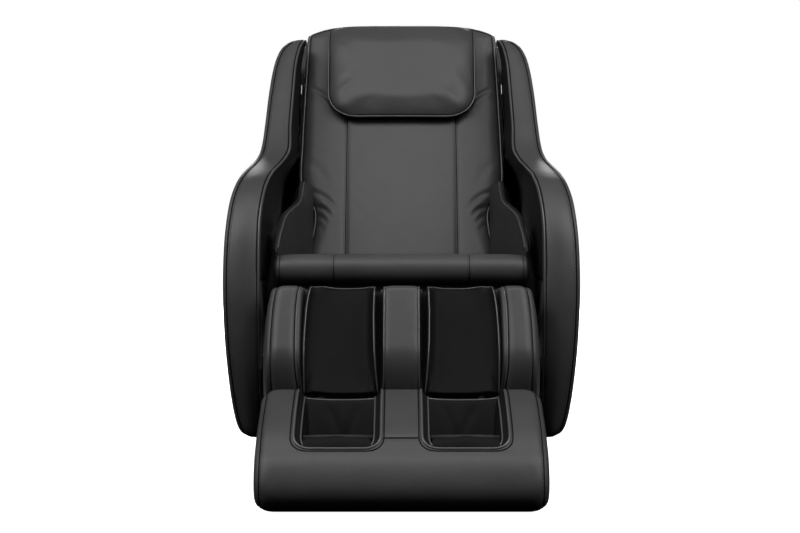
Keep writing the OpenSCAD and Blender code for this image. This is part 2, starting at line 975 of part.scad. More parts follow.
// Moulded back of the leg rest, open at the front, top and bottom
module leg_shell() {
  color(plastic)
  on_leg()
    difference() {
      along_x([-283, 283]) polygon([
        [-21.5, -shell_start], [20, -shell_start], [34, -shell_start - 22], [34, -shell_end + 16],
        [26, -shell_end], [-21.5, -shell_end]
      ]);
      along_x([-280, 280]) polygon([
        [-22, -shell_start + 1], [18, -shell_start + 1], [31, -shell_start - 23], [31, -shell_end + 17],
        [24, -shell_end - 1], [-22, -shell_end - 1]
      ]);
    }
}

// ---------------------------------------------------------------- foot unit

// Side outline of the foot unit at rest, front at -y
foot_outline = [
  [-350, 183], [-415, 211], [-430, 222], [-448, 222], [-480, 213], [-540, 190], [-598, 156],
  [-625, 131], [-645, 113], [-660, 80], [-665, 58], [-655, 36], [-632, 17], [-600, 10],
  [-400, 10], [-366, 17], [-346, 38], [-339, 100], [-343, 168]
];
foot_middle = [-500, 105];
well_inner = 38;
well_outer = 210;
sole_down = 365;

// Outline drawn in towards its middle
function shrunk(outline, inset) =
  [for (p = outline) let (v = p - foot_middle) foot_middle + v * (1 - inset / norm(v))];

function foot_ring(x, inset) = [for (p = shrunk(foot_outline, inset)) [x, p[0], p[1]]];

// Padded side wall of a foot well
module foot_pad() {
  color(leather)
  loft([for (s = [[286, 34], [283, 20], [276, 9], [264, 2], [246, 0], [216, 0], [well_outer, 3]])
    foot_ring(s[0], s[1])]);
}

module right_foot_pad() {
  foot_pad();
}

module left_foot_pad() {
  mirror([1, 0, 0]) foot_pad();
}

// Padded wall between the two wells
module foot_divider() {
  color(leather)
  loft([for (s = [[well_inner, 5], [well_inner - 5, 0.5], [-well_inner + 5, 0.5], [-well_inner, 5]])
    [for (p = shrunk([
      [-362, 176], [-380, 192], [-415, 207], [-430, 217], [-448, 217], [-480, 208], [-540, 185],
      [-578, 162], [-570, 120], [-500, 92], [-440, 76], [-409, 76]
    ], s[1])) [s[0], p[0], p[1]]]]);
}

// Rounded lip and front face below the toes
module toe_bumper() {
  r = 18;
  color(leather)
  along_x([-209.6, 209.6])
    polygon(concat(
      [[-592, 146], [-602, 149]],
      [[-625, 130], [-645, 113], [-660, 80], [-664.5, 58], [-655, 36], [-632, 17], [-600, 11]],
      [for (i = [0:3]) [-592 + r * sin(30 * i) / 2, 11 + r - r * cos(30 * i)]],
      [[-606, 84], [-604, 110]]
    ));
}

// Soles of the two wells, square to the calves
module sole_pads() {
  color("#5a5b5d")
  on_leg() both_sides()
    difference() {
      leg_block([39, 209], [35, 204], [sole_down, sole_down + 18]);
      for (x = [82, 124, 166])
        leg_block([x - 10, x + 10], [76, 128], [sole_down + 12, sole_down + 20]);
    }
}

// Bottom tray of the foot unit with its heel wall
module foot_tray() {
  color(plastic) {
    along_x([-209.6, 209.6])
      polygon([
        [-580, 11], [-400, 11], [-366, 18], [-347, 38], [-340, 100], [-342, 136],
        [-348, 136], [-347, 100], [-353, 42], [-370, 24], [-400, 17], [-580, 17]
      ]);
    on_leg() both_sides()
      leg_block([well_inner + 0.4, well_outer - 0.4], [21, 33], [243, sole_down + 16]);
    for (x = [-100, 100])
      along_x([x - 3, x + 3]) polygon([[-395, 17.2], [-560, 17.2], [-560, 30], [-395, 30]]);
    x_rod(20, [-36, 36], [-556, 88]);
  }
}

// Slide rods, clamped in a bar behind the heel wall
module slide_rods() {
  color(bright)
  on_leg() {
    both_sides()
      translate([slide_rod_x, -slide_rod_out, -296])
        cylinder(r = slide_rod_radius, h = 276);
    leg_block([-190, 190], [-4, 20.5], [296, 314]);
  }
}

roller_line = leg_point(100, 412);

// Shaft with ribbed discs that turn under the soles
module foot_rollers() {
  color("#3b2f29")
  translate([0, roller_line[0], roller_line[1]]) rotate([0, 90, 0]) {
    translate([0, 0, -200]) cylinder(r = 6, h = 400);
    for (x = [-166, -124, -82, 82, 124, 166])
      translate([0, 0, x]) rotate_extrude()
        polygon([[5, -8], [16, -8], [21, -5], [21, 5], [16, 8], [5, 8]]);
  }
}

// ---------------------------------------------------------------- actuators

back_reach = back_point(back_lever[0], back_lever[1]) - back_anchor;
leg_reach = leg_point(leg_lever[0], leg_lever[1]) - leg_anchor;

// Frame with y along an actuator, from its base pivot
module on_actuator(x, anchor, reach) {
  translate([x, anchor[0], anchor[1]]) rotate([bearing(reach), 0, 0]) children();
}

module y_rod(r, y, x = 0, z = 0) {
  translate([x, y[0], z]) rotate([-90, 0, 0]) cylinder(r = r, h = y[1] - y[0]);
}

tube_radius = 20;
rod_radius = 12;

// Tube with its gear motor; drop is the side that the motor hangs on
module actuator_body(reach_length, drop, hole) {
  color(plastic)
  difference() {
    union() {
      y_rod(tube_radius, [-4, reach_length]);
      x_rod(tube_radius, [-15, 15], [0, 0]);
      y_rod(23, [34, 150], 0, drop * 46);
      block([-17, 17], [16, 34.5], [min(-14, drop * 64), max(14, drop * 64)]);
    }
    y_rod(rod_radius + running_gap, [24, reach_length + 1]);
    x_rod(hole, [-20, 20], [0, 0]);
  }
}

// Rod with an oversize eye that leaves room for the fork pin's arc
module actuator_rod(from, length, eye, offset) {
  color(bright)
  difference() {
    union() {
      y_rod(rod_radius, [from, length - eye]);
      x_rod(eye + 8, [-8, 8], [length, offset]);
    }
    x_rod(eye, [-20, 20], [length, offset]);
  }
}

module back_actuator_body() {
  on_actuator(back_actuator_x, back_anchor, back_reach)
    actuator_body(248, -1, actuator_pin_radius + running_gap);
}

module back_actuator_rod() {
  on_actuator(back_actuator_x, back_anchor, back_reach)
    actuator_rod(150, norm(back_reach), 13.5, -3);
}

module leg_actuator_body() {
  on_actuator(leg_actuator_x, leg_anchor, leg_reach)
    actuator_body(228, 1, 6);
}

module leg_actuator_rod() {
  on_actuator(leg_actuator_x, leg_anchor, leg_reach)
    actuator_rod(80, norm(leg_reach), 15.5, 5.5);
}

rubber_feet();
floor_frame();
seat_frame();
equipment_tray();
hinge_plates();
hinge_pins();
arm_brackets();
arm_bolts();
actuator_brackets();
left_arm();
right_arm();
arm_returns();
seat_board();
seat_cushion();
seat_front_roll();
left_hip_bolster();
right_hip_bolster();
rear_base_cover();
control_box();
air_pump();
inlet_panel();
rocker_switch();
wheel_axle();
left_wheel();
right_wheel();
back_frame();
guide_rails();
back_cushion();
back_shell();
travel_motor();
lead_screw();
carriage_frame();
carriage_runners();
kneading_motor();
kneading_shaft();
left_massage_arm();
right_massage_arm();
left_upper_roller();
left_lower_roller();
right_upper_roller();
right_lower_roller();
head_pillow();
leg_frame();
left_calf_pad();
right_calf_pad();
center_calf_pad();
calf_back_pads();
leg_shell();
slide_rods();
left_foot_pad();
right_foot_pad();
foot_divider();
toe_bumper();
sole_pads();
foot_tray();
foot_rollers();
back_actuator_body();
back_actuator_rod();
leg_actuator_body();
leg_actuator_rod();
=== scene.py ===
import math

import bmesh
import bpy
import numpy as np
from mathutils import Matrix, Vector
from mathutils.bvhtree import BVHTree
from mathutils.kdtree import KDTree


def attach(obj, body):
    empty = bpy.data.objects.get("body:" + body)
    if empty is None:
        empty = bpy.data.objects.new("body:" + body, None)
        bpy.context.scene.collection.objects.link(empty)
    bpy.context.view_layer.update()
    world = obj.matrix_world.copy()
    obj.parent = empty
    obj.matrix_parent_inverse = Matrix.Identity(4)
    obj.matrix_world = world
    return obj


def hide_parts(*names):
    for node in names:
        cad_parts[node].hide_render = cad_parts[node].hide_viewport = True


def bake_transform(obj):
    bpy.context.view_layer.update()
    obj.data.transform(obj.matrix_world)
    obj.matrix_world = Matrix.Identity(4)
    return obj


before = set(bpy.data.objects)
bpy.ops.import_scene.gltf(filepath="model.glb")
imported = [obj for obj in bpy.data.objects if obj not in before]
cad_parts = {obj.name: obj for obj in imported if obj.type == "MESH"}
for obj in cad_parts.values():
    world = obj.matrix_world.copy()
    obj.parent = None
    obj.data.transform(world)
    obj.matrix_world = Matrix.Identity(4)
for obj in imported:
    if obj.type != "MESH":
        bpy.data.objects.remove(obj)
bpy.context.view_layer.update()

# Full-body massage chair. Shapes are laid out in millimetres and turned into metres
# as each mesh is made. The sitter faces -Y and "left" is the -X side.
MM = 0.001
# Lean of the back and of the leg rest, and the (y, z) origins of their own frames
LEAN, LEG_LEAN = math.radians(28), math.radians(25)
BACK_Y, BACK_Z = 195, 420
LEG_Y, LEG_Z = -235, 395
SIDES = (("left", -1), ("right", 1))


# ---------------------------------------------------------------- curves and frames

def curve(pts, x):
    """Smooth curve through [position, value] pairs, the same one the CAD solids use."""
    p = np.asarray(pts, float)
    x = np.asarray(x, float)
    last = len(p) - 1
    i = np.clip(np.searchsorted(p[:, 0], x, side="right") - 1, 0, last - 1)

    def rise(k):
        a, b = np.maximum(k - 1, 0), np.minimum(k + 1, last)
        return (p[b, 1] - p[a, 1]) / (p[b, 0] - p[a, 0])

    h = p[i + 1, 0] - p[i, 0]
    t = np.clip((x - p[i, 0]) / h, 0, 1)
    return (
        (2 * t**3 - 3 * t**2 + 1) * p[i, 1] + (t**3 - 2 * t**2 + t) * h * rise(i)
        + (3 * t**2 - 2 * t**3) * p[i + 1, 1] + (t**3 - t**2) * h * rise(i + 1)
    )


def ramp(x, a, b):
    """Smooth step from 0 at a to 1 at b."""
    t = np.clip((np.asarray(x, float) - a) / (b - a), 0, 1)
    return t * t * (3 - 2 * t)


def stack(x, y, z):
    """Points from three coordinates, each a number or an array."""
    x, y, z = np.broadcast_arrays(np.asarray(x, float), np.asarray(y, float), np.asarray(z, float))
    return np.stack([x, y, z], -1)


def on_back(x, t, s):
    """Point of the back's own frame: t square to the back towards the rear, s up it."""
    t, s = np.asarray(t, float), np.asarray(s, float)
    return stack(x, BACK_Y + s * math.sin(LEAN) + t * math.cos(LEAN),
                 BACK_Z + s * math.cos(LEAN) - t * math.sin(LEAN))


def depth_on_back(y, z):
    """Depth t of a point in the back's own frame."""
    return (y - BACK_Y) * math.cos(LEAN) - (z - BACK_Z) * math.sin(LEAN)


def on_leg(x, out, down):
    """Point of the leg rest's own frame: outwards from its back, and down its length."""
    out, down = np.asarray(out, float), np.asarray(down, float)
    return stack(x, LEG_Y - out * math.cos(LEG_LEAN) - down * math.sin(LEG_LEAN),
                 LEG_Z + out * math.sin(LEG_LEAN) - down * math.cos(LEG_LEAN))


def resample(path, step, closed=False):
    """The same path with evenly spaced points."""
    p = np.asarray(path, float)
    if closed:
        p = np.vstack([p, p[:1]])
    seg = np.linalg.norm(np.diff(p, axis=0), axis=1)
    at = np.concatenate([[0], np.cumsum(seg)])
    n = max(2, int(round(at[-1] / step)))
    new = np.linspace(0, at[-1], n + 1)
    if closed:
        new = new[:-1]
    return np.stack([np.interp(new, at, p[:, k]) for k in range(p.shape[1])], -1)


def spline(points, per=8, closed=False):
    """Catmull-Rom curve through the points."""
    p = np.asarray(points, float)
    n = len(p)
    out = []
    for i in range(n if closed else n - 1):
        a, b, c, d = (
            [p[(i + k) % n] for k in (-1, 0, 1, 2)] if closed
            else [p[min(max(i + k, 0), n - 1)] for k in (-1, 0, 1, 2)]
        )
        for t in np.linspace(0, 1, per, endpoint=False):
            out.append(0.5 * (2 * b + (c - a) * t + (2 * a - 5 * b + 4 * c - d) * t**2
                              + (3 * b - a - 3 * c + d) * t**3))
    if not closed:
        out.append(p[-1])
    return np.array(out)


# ---------------------------------------------------------------- meshes

def make(name, verts, faces, mat, body=None):
    """Smooth mesh object from vertices in millimetres, with its doubled points welded."""
    mesh = bpy.data.meshes.new(name)
    mesh.from_pydata((np.asarray(verts) * MM).tolist(), [], faces)
    bm = bmesh.new()
    bm.from_mesh(mesh)
    bmesh.ops.remove_doubles(bm, verts=bm.verts, dist=2e-5)
    bmesh.ops.dissolve_degenerate(bm, edges=bm.edges, dist=1e-6)
    bmesh.ops.recalc_face_normals(bm, faces=bm.faces)
    bm.to_mesh(mesh)
    bm.free()
    mesh.polygons.foreach_set("use_smooth", [True] * len(mesh.polygons))
    mesh.materials.append(mat)
    obj = bpy.data.objects.new(name, mesh)
    bpy.context.collection.objects.link(obj)
    if body:
        finish_piece(obj, body)
    return obj


def finish_piece(obj, body):
    """Puts a piece on the body it moves with."""
    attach(obj, body)


def grid_faces(n, m, wrap=False, start=0):
    """Quads of n rows of m points; wrap joins each row's last point to its first."""
    cols = m if wrap else m - 1
    return [
        (start + i * m + j, start + i * m + (j + 1) % m,
         start + (i + 1) * m + (j + 1) % m, start + (i + 1) * m + j)
        for i in range(n - 1) for j in range(cols)
    ]


def bridge(a, b):
    """Quads between two closed loops of vertex numbers."""
    k = len(a)
    return [(a[j], a[(j + 1) % k], b[(j + 1) % k], b[j]) for j in range(k)]


def closed_loft(rings, cap=(0.82, 0.55, 0.25)):
    """Vertices and faces of a stack of equal closed rings, closed at both ends."""
    rings = [np.asarray(r, float) for r in rings]
    first = [rings[0].mean(0) + (rings[0] - rings[0].mean(0)) * k for k in cap[::-1]]
    last = [rings[-1].mean(0) + (rings[-1] - rings[-1].mean(0)) * k for k in cap]
    rings = first + rings + last
    m = len(rings[0])
    faces = grid_faces(len(rings), m, wrap=True)
    faces.append(tuple(range(m)))
    faces.append(tuple((len(rings) - 1) * m + j for j in range(m)))
    return np.vstack(rings), faces


def thin_loft(rings):
    """Vertices and faces of a thin shell. Each ring runs along one side and back along the
    other, and the shell's ends are closed between them."""
    m = len(rings[0])
    faces = grid_faces(len(rings), m, wrap=True)
    for row in (0, len(rings) - 1):
        faces += [(row * m + j, row * m + j + 1, row * m + m - 2 - j, row * m + m - 1 - j)
                  for j in range(m // 2 - 1)]
    return np.vstack(rings), faces


def thicken(obj, thickness):
    """Gives a single skin its thickness, in millimetres."""
    solid = obj.modifiers.new("thickness", "SOLIDIFY")
    solid.thickness = thickness * MM
    solid.offset = -1


def surface(obj):
    """Search tree of an object's faces in millimetres, with outward normals."""
    mesh = obj.data
    verts = [v.co / MM for v in mesh.vertices]
    return BVHTree.FromPolygons(verts, [tuple(p.vertices) for p in mesh.polygons])


def press(obj, paths, depth, width):
    """Sinks the surface along seam lines."""
    pts = np.vstack([resample(p, 2.0) for p in paths])
    tree = KDTree(len(pts))
    for i, p in enumerate(pts):
        tree.insert(p, i)
    tree.balance()
    mesh = obj.data
    normals = [v.normal.copy() for v in mesh.vertices]
    for v, n in zip(mesh.vertices, normals):
        d = tree.find(v.co / MM)[2]
        if d < 3 * width:
            v.co -= n * (depth * MM * math.exp(-((d / width) ** 2)))
    mesh.update()


def snapped(tree, path, lift):
    """Path laid on a surface, raised by the lift, with the surface's normals along it."""
    pts, normals = [], []
    for p in path:
        co, normal, _, _ = tree.find_nearest(Vector(p))
        pts.append(np.array(co) + np.array(normal) * lift)
        normals.append(np.array(normal))
    pts, normals = np.array(pts), np.array(normals)
    for _ in range(3):
        pts[1:-1] = 0.25 * pts[:-2] + 0.5 * pts[1:-1] + 0.25 * pts[2:]
    return pts, normals


def tube(path, radius, sides=8):
    """Round cord along a path, narrowed and closed at its ends."""
    p = np.asarray(path, float)
    n = len(p)
    tan = np.gradient(p, axis=0)
    tan /= np.linalg.norm(tan, axis=1)[:, None] + 1e-12
    ref = np.array([0.0, 0.0, 1.0]) if abs(tan[0][2]) < 0.9 else np.array([1.0, 0.0, 0.0])
    verts = []
    for i in range(n):
        a = ref - tan[i] * np.dot(ref, tan[i])
        a /= np.linalg.norm(a) + 1e-12
        b = np.cross(tan[i], a)
        ref = a
        r = radius * 0.4 if i in (0, n - 1) else radius
        for k in range(sides):
            w = 2 * math.pi * k / sides
            verts.append(p[i] + (a * math.cos(w) + b * math.sin(w)) * r)
    faces = grid_faces(n, sides, wrap=True)
    faces += [tuple(range(sides)), tuple((n - 1) * sides + j for j in range(sides))]
    return verts, faces


def merged(parts):
    """One list of vertices and one of faces from several pairs of them."""
    verts, faces = [], []
    for v, f in parts:
        k = len(verts)
        verts += list(v)
        faces += [tuple(i + k for i in face) for face in f]
    return verts, faces


def piping(name, obj, paths, body, radius=2.4, lift=0.4, mat=None):
    """Round corded edges that lie on an object's surface along the paths."""
    tree = surface(obj)
    parts = []
    for path in paths:
        pts, _ = snapped(tree, resample(path, 5.0), lift)
        parts.append(tube(pts, radius))
    verts, faces = merged(parts)
    return make(name, verts, faces, mat or M["piping"], body)


def inflate(obj, cap, held, voxel=6.0, pressure=4.0):
    """Swells a closed pad with the cloth solver. Points where held(x, y, z) is true stay put,
    and no point moves further than the cap."""
    scene = bpy.context.scene
    bpy.context.view_layer.objects.active = obj
    remesh = obj.modifiers.new("remesh", "REMESH")
    remesh.mode = "VOXEL"
    remesh.voxel_size = voxel * MM
    bpy.ops.object.modifier_apply(modifier=remesh.name)
    rest = np.array([v.co[:] for v in obj.data.vertices])
    fixed = held(*(rest.T / MM))
    pins = obj.vertex_groups.new(name="pins")
    pins.add(np.nonzero(fixed)[0].tolist(), 1.0, "REPLACE")
    cloth = obj.modifiers.new("cloth", "CLOTH")
    cloth.settings.vertex_group_mass = pins.name
    cloth.settings.use_pressure = True
    cloth.settings.uniform_pressure_force = pressure
    cloth.settings.effector_weights.gravity = 0
    cloth.point_cache.frame_start, cloth.point_cache.frame_end = 1, 20
    for frame_number in range(1, 21):
        scene.frame_set(frame_number)
    swollen = obj.evaluated_get(bpy.context.evaluated_depsgraph_get())
    move = np.array([v.co[:] for v in swollen.data.vertices]) - rest
    size = np.linalg.norm(move, axis=1)
    move *= np.minimum(1.0, cap * MM / np.maximum(size, 1e-9))[:, None]
    obj.modifiers.remove(cloth)
    obj.vertex_groups.remove(pins)
    scene.frame_set(1)
    obj.data.vertices.foreach_set("co", (rest + move).ravel())
    smooth = obj.modifiers.new("smooth", "CORRECTIVE_SMOOTH")
    smooth.use_only_smooth = True
    smooth.iterations = 4
    bpy.ops.object.modifier_apply(modifier=smooth.name)
    obj.data.polygons.foreach_set("use_smooth", [True] * len(obj.data.polygons))
    finer = obj.modifiers.new("finer", "SUBSURF")
    finer.levels = finer.render_levels = 1
    bpy.ops.object.modifier_apply(modifier=finer.name)
    obj.data.update()


STITCH_LEN, STITCH_GAP, STITCH_R = 5.2, 2.4, 0.75


def stitches(name, obj, paths, body, lift=0.15):
    """Rows of single thread stitches along the paths."""
    tree = surface(obj)
    verts, faces = [], []
    for path in paths:
        pts, normals = snapped(tree, resample(path, (STITCH_LEN + STITCH_GAP) / 2), lift)
        for i in range(0, len(pts) - 1, 2):
            a, b, n = pts[i], pts[i + 1], normals[i]
            along = b - a
            size = np.linalg.norm(along)
            if size < 1e-6:
                continue
            along = along / size
            mid = (a + b) / 2
            side = np.cross(n, along)
            half = STITCH_LEN / 2
            start = len(verts)
            verts.append(mid - along * half - n * 0.6)
            for f, r in ((-0.6, 0.85), (0.6, 0.85)):
                for k in range(6):
                    w = 2 * math.pi * k / 6
                    verts.append(mid + along * half * f
                                 + (side * math.cos(w) + n * math.sin(w)) * STITCH_R * r)
            verts.append(mid + along * half - n * 0.6)
            end = start + 13
            for k in range(6):
                q = (k + 1) % 6
                faces.append((start, start + 1 + q, start + 1 + k))
                faces.append((start + 1 + k, start + 1 + q, start + 7 + q, start + 7 + k))
                faces.append((end, start + 7 + k, start + 7 + q))
    return make(name, verts, faces, M["thread"], body)


# ---------------------------------------------------------------- materials

def shader(name, rough, **sockets):
    mat = bpy.data.materials.new(name)
    mat.use_nodes = True
    tree = mat.node_tree
    bsdf = tree.nodes["Principled BSDF"]
    bsdf.inputs["Roughness"].default_value = rough
    for key, value in sockets.items():
        bsdf.inputs[key.replace("_", " ")].default_value = value
    return mat, tree, bsdf


def link(tree, a, out, b, into):
    tree.links.new(a.outputs[out], b.inputs[into])


def node(tree, kind, **values):
    n = tree.nodes.new(kind)
    for key, value in values.items():
        if key in n.inputs:
            n.inputs[key].default_value = value
        else:
            setattr(n, key, value)
    return n


def mix_colors(tree, bsdf, fac, out, low, high):
    """Base colour that drifts between two colours."""
    r = tree.nodes.new("ShaderNodeValToRGB")
    r.color_ramp.elements[0].position = 0.35
    r.color_ramp.elements[1].position = 0.65
    r.color_ramp.elements[0].color = (*low, 1)
    r.color_ramp.elements[1].color = (*high, 1)
    tree.links.new(fac.outputs[out], r.inputs["Fac"])
    tree.links.new(r.outputs["Color"], bsdf.inputs["Base Color"])


def vary_rough(tree, bsdf, fac, out, low, high):
    """Roughness that varies between two values."""
    m = node(tree, "ShaderNodeMapRange")
    m.inputs["To Min"].default_value = low
    m.inputs["To Max"].default_value = high
    tree.links.new(fac.outputs[out], m.inputs["Value"])
    tree.links.new(m.outputs["Result"], bsdf.inputs["Roughness"])


def bump(tree, bsdf, heights, distance, strength):
    """Adds several height sources, each (node, output, weight), into one bump."""
    total = None
    for src, out, weight in heights:
        m = node(tree, "ShaderNodeMath", operation="MULTIPLY")
        m.inputs[1].default_value = weight
        tree.links.new(src.outputs[out], m.inputs[0])
        if total is None:
            total = m
        else:
            add = node(tree, "ShaderNodeMath", operation="ADD")
            tree.links.new(total.outputs[0], add.inputs[0])
            tree.links.new(m.outputs[0], add.inputs[1])
            total = add
    b = node(tree, "ShaderNodeBump")
    b.inputs["Distance"].default_value = distance
    b.inputs["Strength"].default_value = strength
    tree.links.new(total.outputs[0], b.inputs["Height"])
    tree.links.new(b.outputs["Normal"], bsdf.inputs["Normal"])


def leather(name, low, high, rough=(0.42, 0.56), grain=1.0, gloss=0.5):
    """Full-grain leather: pebbles about 1.6 mm wide, fine pores and slow colour drift."""
    mat, tree, bsdf = shader(name, 0.5, Specular_IOR_Level=gloss)
    co = node(tree, "ShaderNodeTexCoord")
    cells = node(tree, "ShaderNodeTexVoronoi", feature="DISTANCE_TO_EDGE", Scale=620.0)
    pores = node(tree, "ShaderNodeTexNoise", Scale=1500.0, Detail=2.0)
    slow = node(tree, "ShaderNodeTexNoise", Scale=7.0, Detail=4.0, Roughness=0.6)
    puff = node(tree, "ShaderNodeTexNoise", Scale=38.0, Detail=3.0)
    for n in (cells, pores, slow, puff):
        link(tree, co, "Object", n, "Vector")
    mix_colors(tree, bsdf, slow, "Fac", low, high)
    vary_rough(tree, bsdf, slow, "Fac", *rough)
    bump(tree, bsdf, [(cells, "Distance", 0.9), (pores, "Fac", 0.25), (puff, "Fac", 1.4)],
         0.0006 * grain, 0.35)
    return mat


def plastic(name, low, high, rough=(0.45, 0.6), scale=900.0, strength=0.25, **sockets):
    """Moulded plastic with a fine spark-eroded texture."""
    mat, tree, bsdf = shader(name, 0.5, **sockets)
    co = node(tree, "ShaderNodeTexCoord")
    fine = node(tree, "ShaderNodeTexNoise", Scale=scale, Detail=2.0)
    slow = node(tree, "ShaderNodeTexNoise", Scale=11.0, Detail=5.0)
    for n in (fine, slow):
        link(tree, co, "Object", n, "Vector")
    mix_colors(tree, bsdf, slow, "Fac", low, high)
    vary_rough(tree, bsdf, slow, "Fac", *rough)
    bump(tree, bsdf, [(fine, "Fac", 1.0)], 0.0003, strength)
    return mat


def metal(name, low, high, rough, stretch, metallic=1.0, strength=0.15):
    """Steel: brushed or drawn along one axis, or powder coated when metallic is low."""
    mat, tree, bsdf = shader(name, 0.4, Metallic=metallic)
    co = node(tree, "ShaderNodeTexCoord")
    mapping = node(tree, "ShaderNodeMapping", Scale=stretch)
    link(tree, co, "Object", mapping, "Vector")
    brushed = node(tree, "ShaderNodeTexNoise", Scale=60.0, Detail=6.0)
    link(tree, mapping, "Vector", brushed, "Vector")
    slow = node(tree, "ShaderNodeTexNoise", Scale=14.0, Detail=4.0)
    link(tree, co, "Object", slow, "Vector")
    mix_colors(tree, bsdf, slow, "Fac", low, high)
    vary_rough(tree, bsdf, brushed, "Fac", *rough)
    bump(tree, bsdf, [(brushed, "Fac", 1.0)], 0.0003, strength)
    return mat


def board(name):
    """Plywood with its grain along the chair's width."""
    mat, tree, bsdf = shader(name, 0.6)
    co = node(tree, "ShaderNodeTexCoord")
    mapping = node(tree, "ShaderNodeMapping", Scale=(2.0, 30.0, 30.0))
    link(tree, co, "Object", mapping, "Vector")
    grain = node(tree, "ShaderNodeTexNoise", Scale=4.0, Detail=8.0, Roughness=0.65)
    link(tree, mapping, "Vector", grain, "Vector")
    mix_colors(tree, bsdf, grain, "Fac", (0.16, 0.09, 0.045), (0.34, 0.21, 0.11))
    vary_rough(tree, bsdf, grain, "Fac", 0.5, 0.75)
    bump(tree, bsdf, [(grain, "Fac", 1.0)], 0.0005, 0.3)
    return mat


def weave(name, low, high):
    """Plain woven fabric."""
    mat, tree, bsdf = shader(name, 0.85, Sheen_Weight=0.2)
    co = node(tree, "ShaderNodeTexCoord")
    a = node(tree, "ShaderNodeTexWave", bands_direction="X", Scale=260.0, Distortion=0.4)
    b = node(tree, "ShaderNodeTexWave", bands_direction="Y", Scale=260.0, Distortion=0.4)
    slow = node(tree, "ShaderNodeTexNoise", Scale=25.0, Detail=3.0)
    for n in (a, b, slow):
        link(tree, co, "Object", n, "Vector")
    mix_colors(tree, bsdf, slow, "Fac", low, high)
    bump(tree, bsdf, [(a, "Fac", 0.5), (b, "Fac", 0.5)], 0.0005, 0.5)
    return mat


def grey(low, high):
    """Two neutral colours."""
    return (low,) * 3, (high,) * 3


M = {
    "leather": leather("leather", *grey(0.044, 0.054)),
    # Darker copy of the cover leather on the hip bolsters and the seat cushion: painted shade
    "painted_half_shade": leather("dark_leather", *grey(0.018, 0.024), rough=(0.5, 0.62), gloss=0.35),
    # Near-black copy of the cover leather on liners, inner walls, heel and toe pads and filler
    # panels: painted deep shade in the recesses
    "painted_deep_shade": leather("recess_leather", *grey(0.004, 0.007), rough=(0.6, 0.75), gloss=0.15),
    # Lighter copy of the cover leather on the piping: painted highlight along the rounded cords
    "piping": leather("piping_painted_highlight_leather", *grey(0.075, 0.095), rough=(0.26, 0.38), grain=0.6,
                      gloss=0.7),
    "thread": plastic("thread", (0.012, 0.012, 0.013), (0.02, 0.02, 0.021), (0.55, 0.7)),
    # Near-black cords along the seams and beside the piping: painted shade lines in the seam
    # grooves
    "cord": leather("seam_shade_cord", *grey(0.003, 0.005), rough=(0.6, 0.7), gloss=0.15),
    "shell": plastic("shell_plastic", (0.014, 0.014, 0.015), (0.02, 0.02, 0.021)),
    "frame": metal("frame_steel", (0.022, 0.023, 0.025), (0.036, 0.037, 0.04), (0.38, 0.55),
                   (6.0, 6.0, 6.0), metallic=0.2),
    "bright": metal("bright_steel", (0.50, 0.50, 0.51), (0.62, 0.62, 0.63), (0.18, 0.36),
                    (1.0, 14.0, 14.0)),
    "zinc": metal("zinc_steel", (0.42, 0.43, 0.45), (0.60, 0.60, 0.58), (0.3, 0.5),
                  (9.0, 9.0, 9.0)),
    "rubber": plastic("rubber", *grey(0.012, 0.02), (0.7, 0.85), 500.0, 0.4),
    "roller": plastic("roller_plastic", (0.055, 0.03, 0.02), (0.075, 0.045, 0.03), (0.35, 0.5)),
    "board": board("board"),
    "equipment": plastic("equipment_plastic", (0.03, 0.032, 0.034), (0.045, 0.046, 0.05)),
    "switch": plastic("switch_plastic", (0.01, 0.01, 0.011), (0.016, 0.016, 0.017), (0.25, 0.4)),
    "sole": weave("sole_fabric", (0.010, 0.010, 0.011), (0.018, 0.018, 0.019)),
}

# ---------------------------------------------------------------- side panels

PANEL_FRONT = [
    [81, -188], [95, -198], [125, -209], [180, -226], [250, -242], [330, -250], [420, -250],
    [510, -235], [570, -210], [620, -172], [650, -132], [668, -80], [682, -20], [700, 50],
    [725, 108], [780, 165], [870, 240], [940, 293], [980, 325], [1000, 350], [1007, 372]]
PANEL_OUTER = [
    [81, -50], [90, -35], [110, -24.5], [160, -15.5], [230, -8.5], [320, -2.5], [420, 0],
    [510, -1.5], [570, -5.5], [620, -12.5], [668, -28.5], [700, -46.5], [725, -52.5],
    [780, -56.5], [870, -61.5], [940, -70.5], [980, -84.5], [1000, -104.5], [1007, -121.5]]
PANEL_INNER = [
    [81, 4], [110, 0], [510, 1], [570, 0], [620, -5], [650, -11], [668, -17], [700, -35],
    [725, -43], [780, -41], [870, -43], [940, -46], [980, -53], [1000, -60],
    [1007, -64]]
PANEL_REAR = [
    [81, 390], [110, 405], [230, 422], [420, 446], [620, 463], [870, 480], [940, 480],
    [980, 470], [1000, 452], [1007, 432]]
INNER_HALF, OUTER_HALF = 308.0, 388.5


def corner(cx, cy, r, start, stop, steps):
    """Points of an arc, between two angles in degrees."""
    a = np.radians(np.linspace(start, stop, steps))
    return [(cx + r * math.cos(w), cy + r * math.sin(w)) for w in a]


def panel_size(z):
    """Inner and outer x, front and rear y of the right panel at a height."""
    return (INNER_HALF + curve(PANEL_INNER, z), OUTER_HALF + curve(PANEL_OUTER, z),
            curve(PANEL_FRONT, z), curve(PANEL_REAR, z))


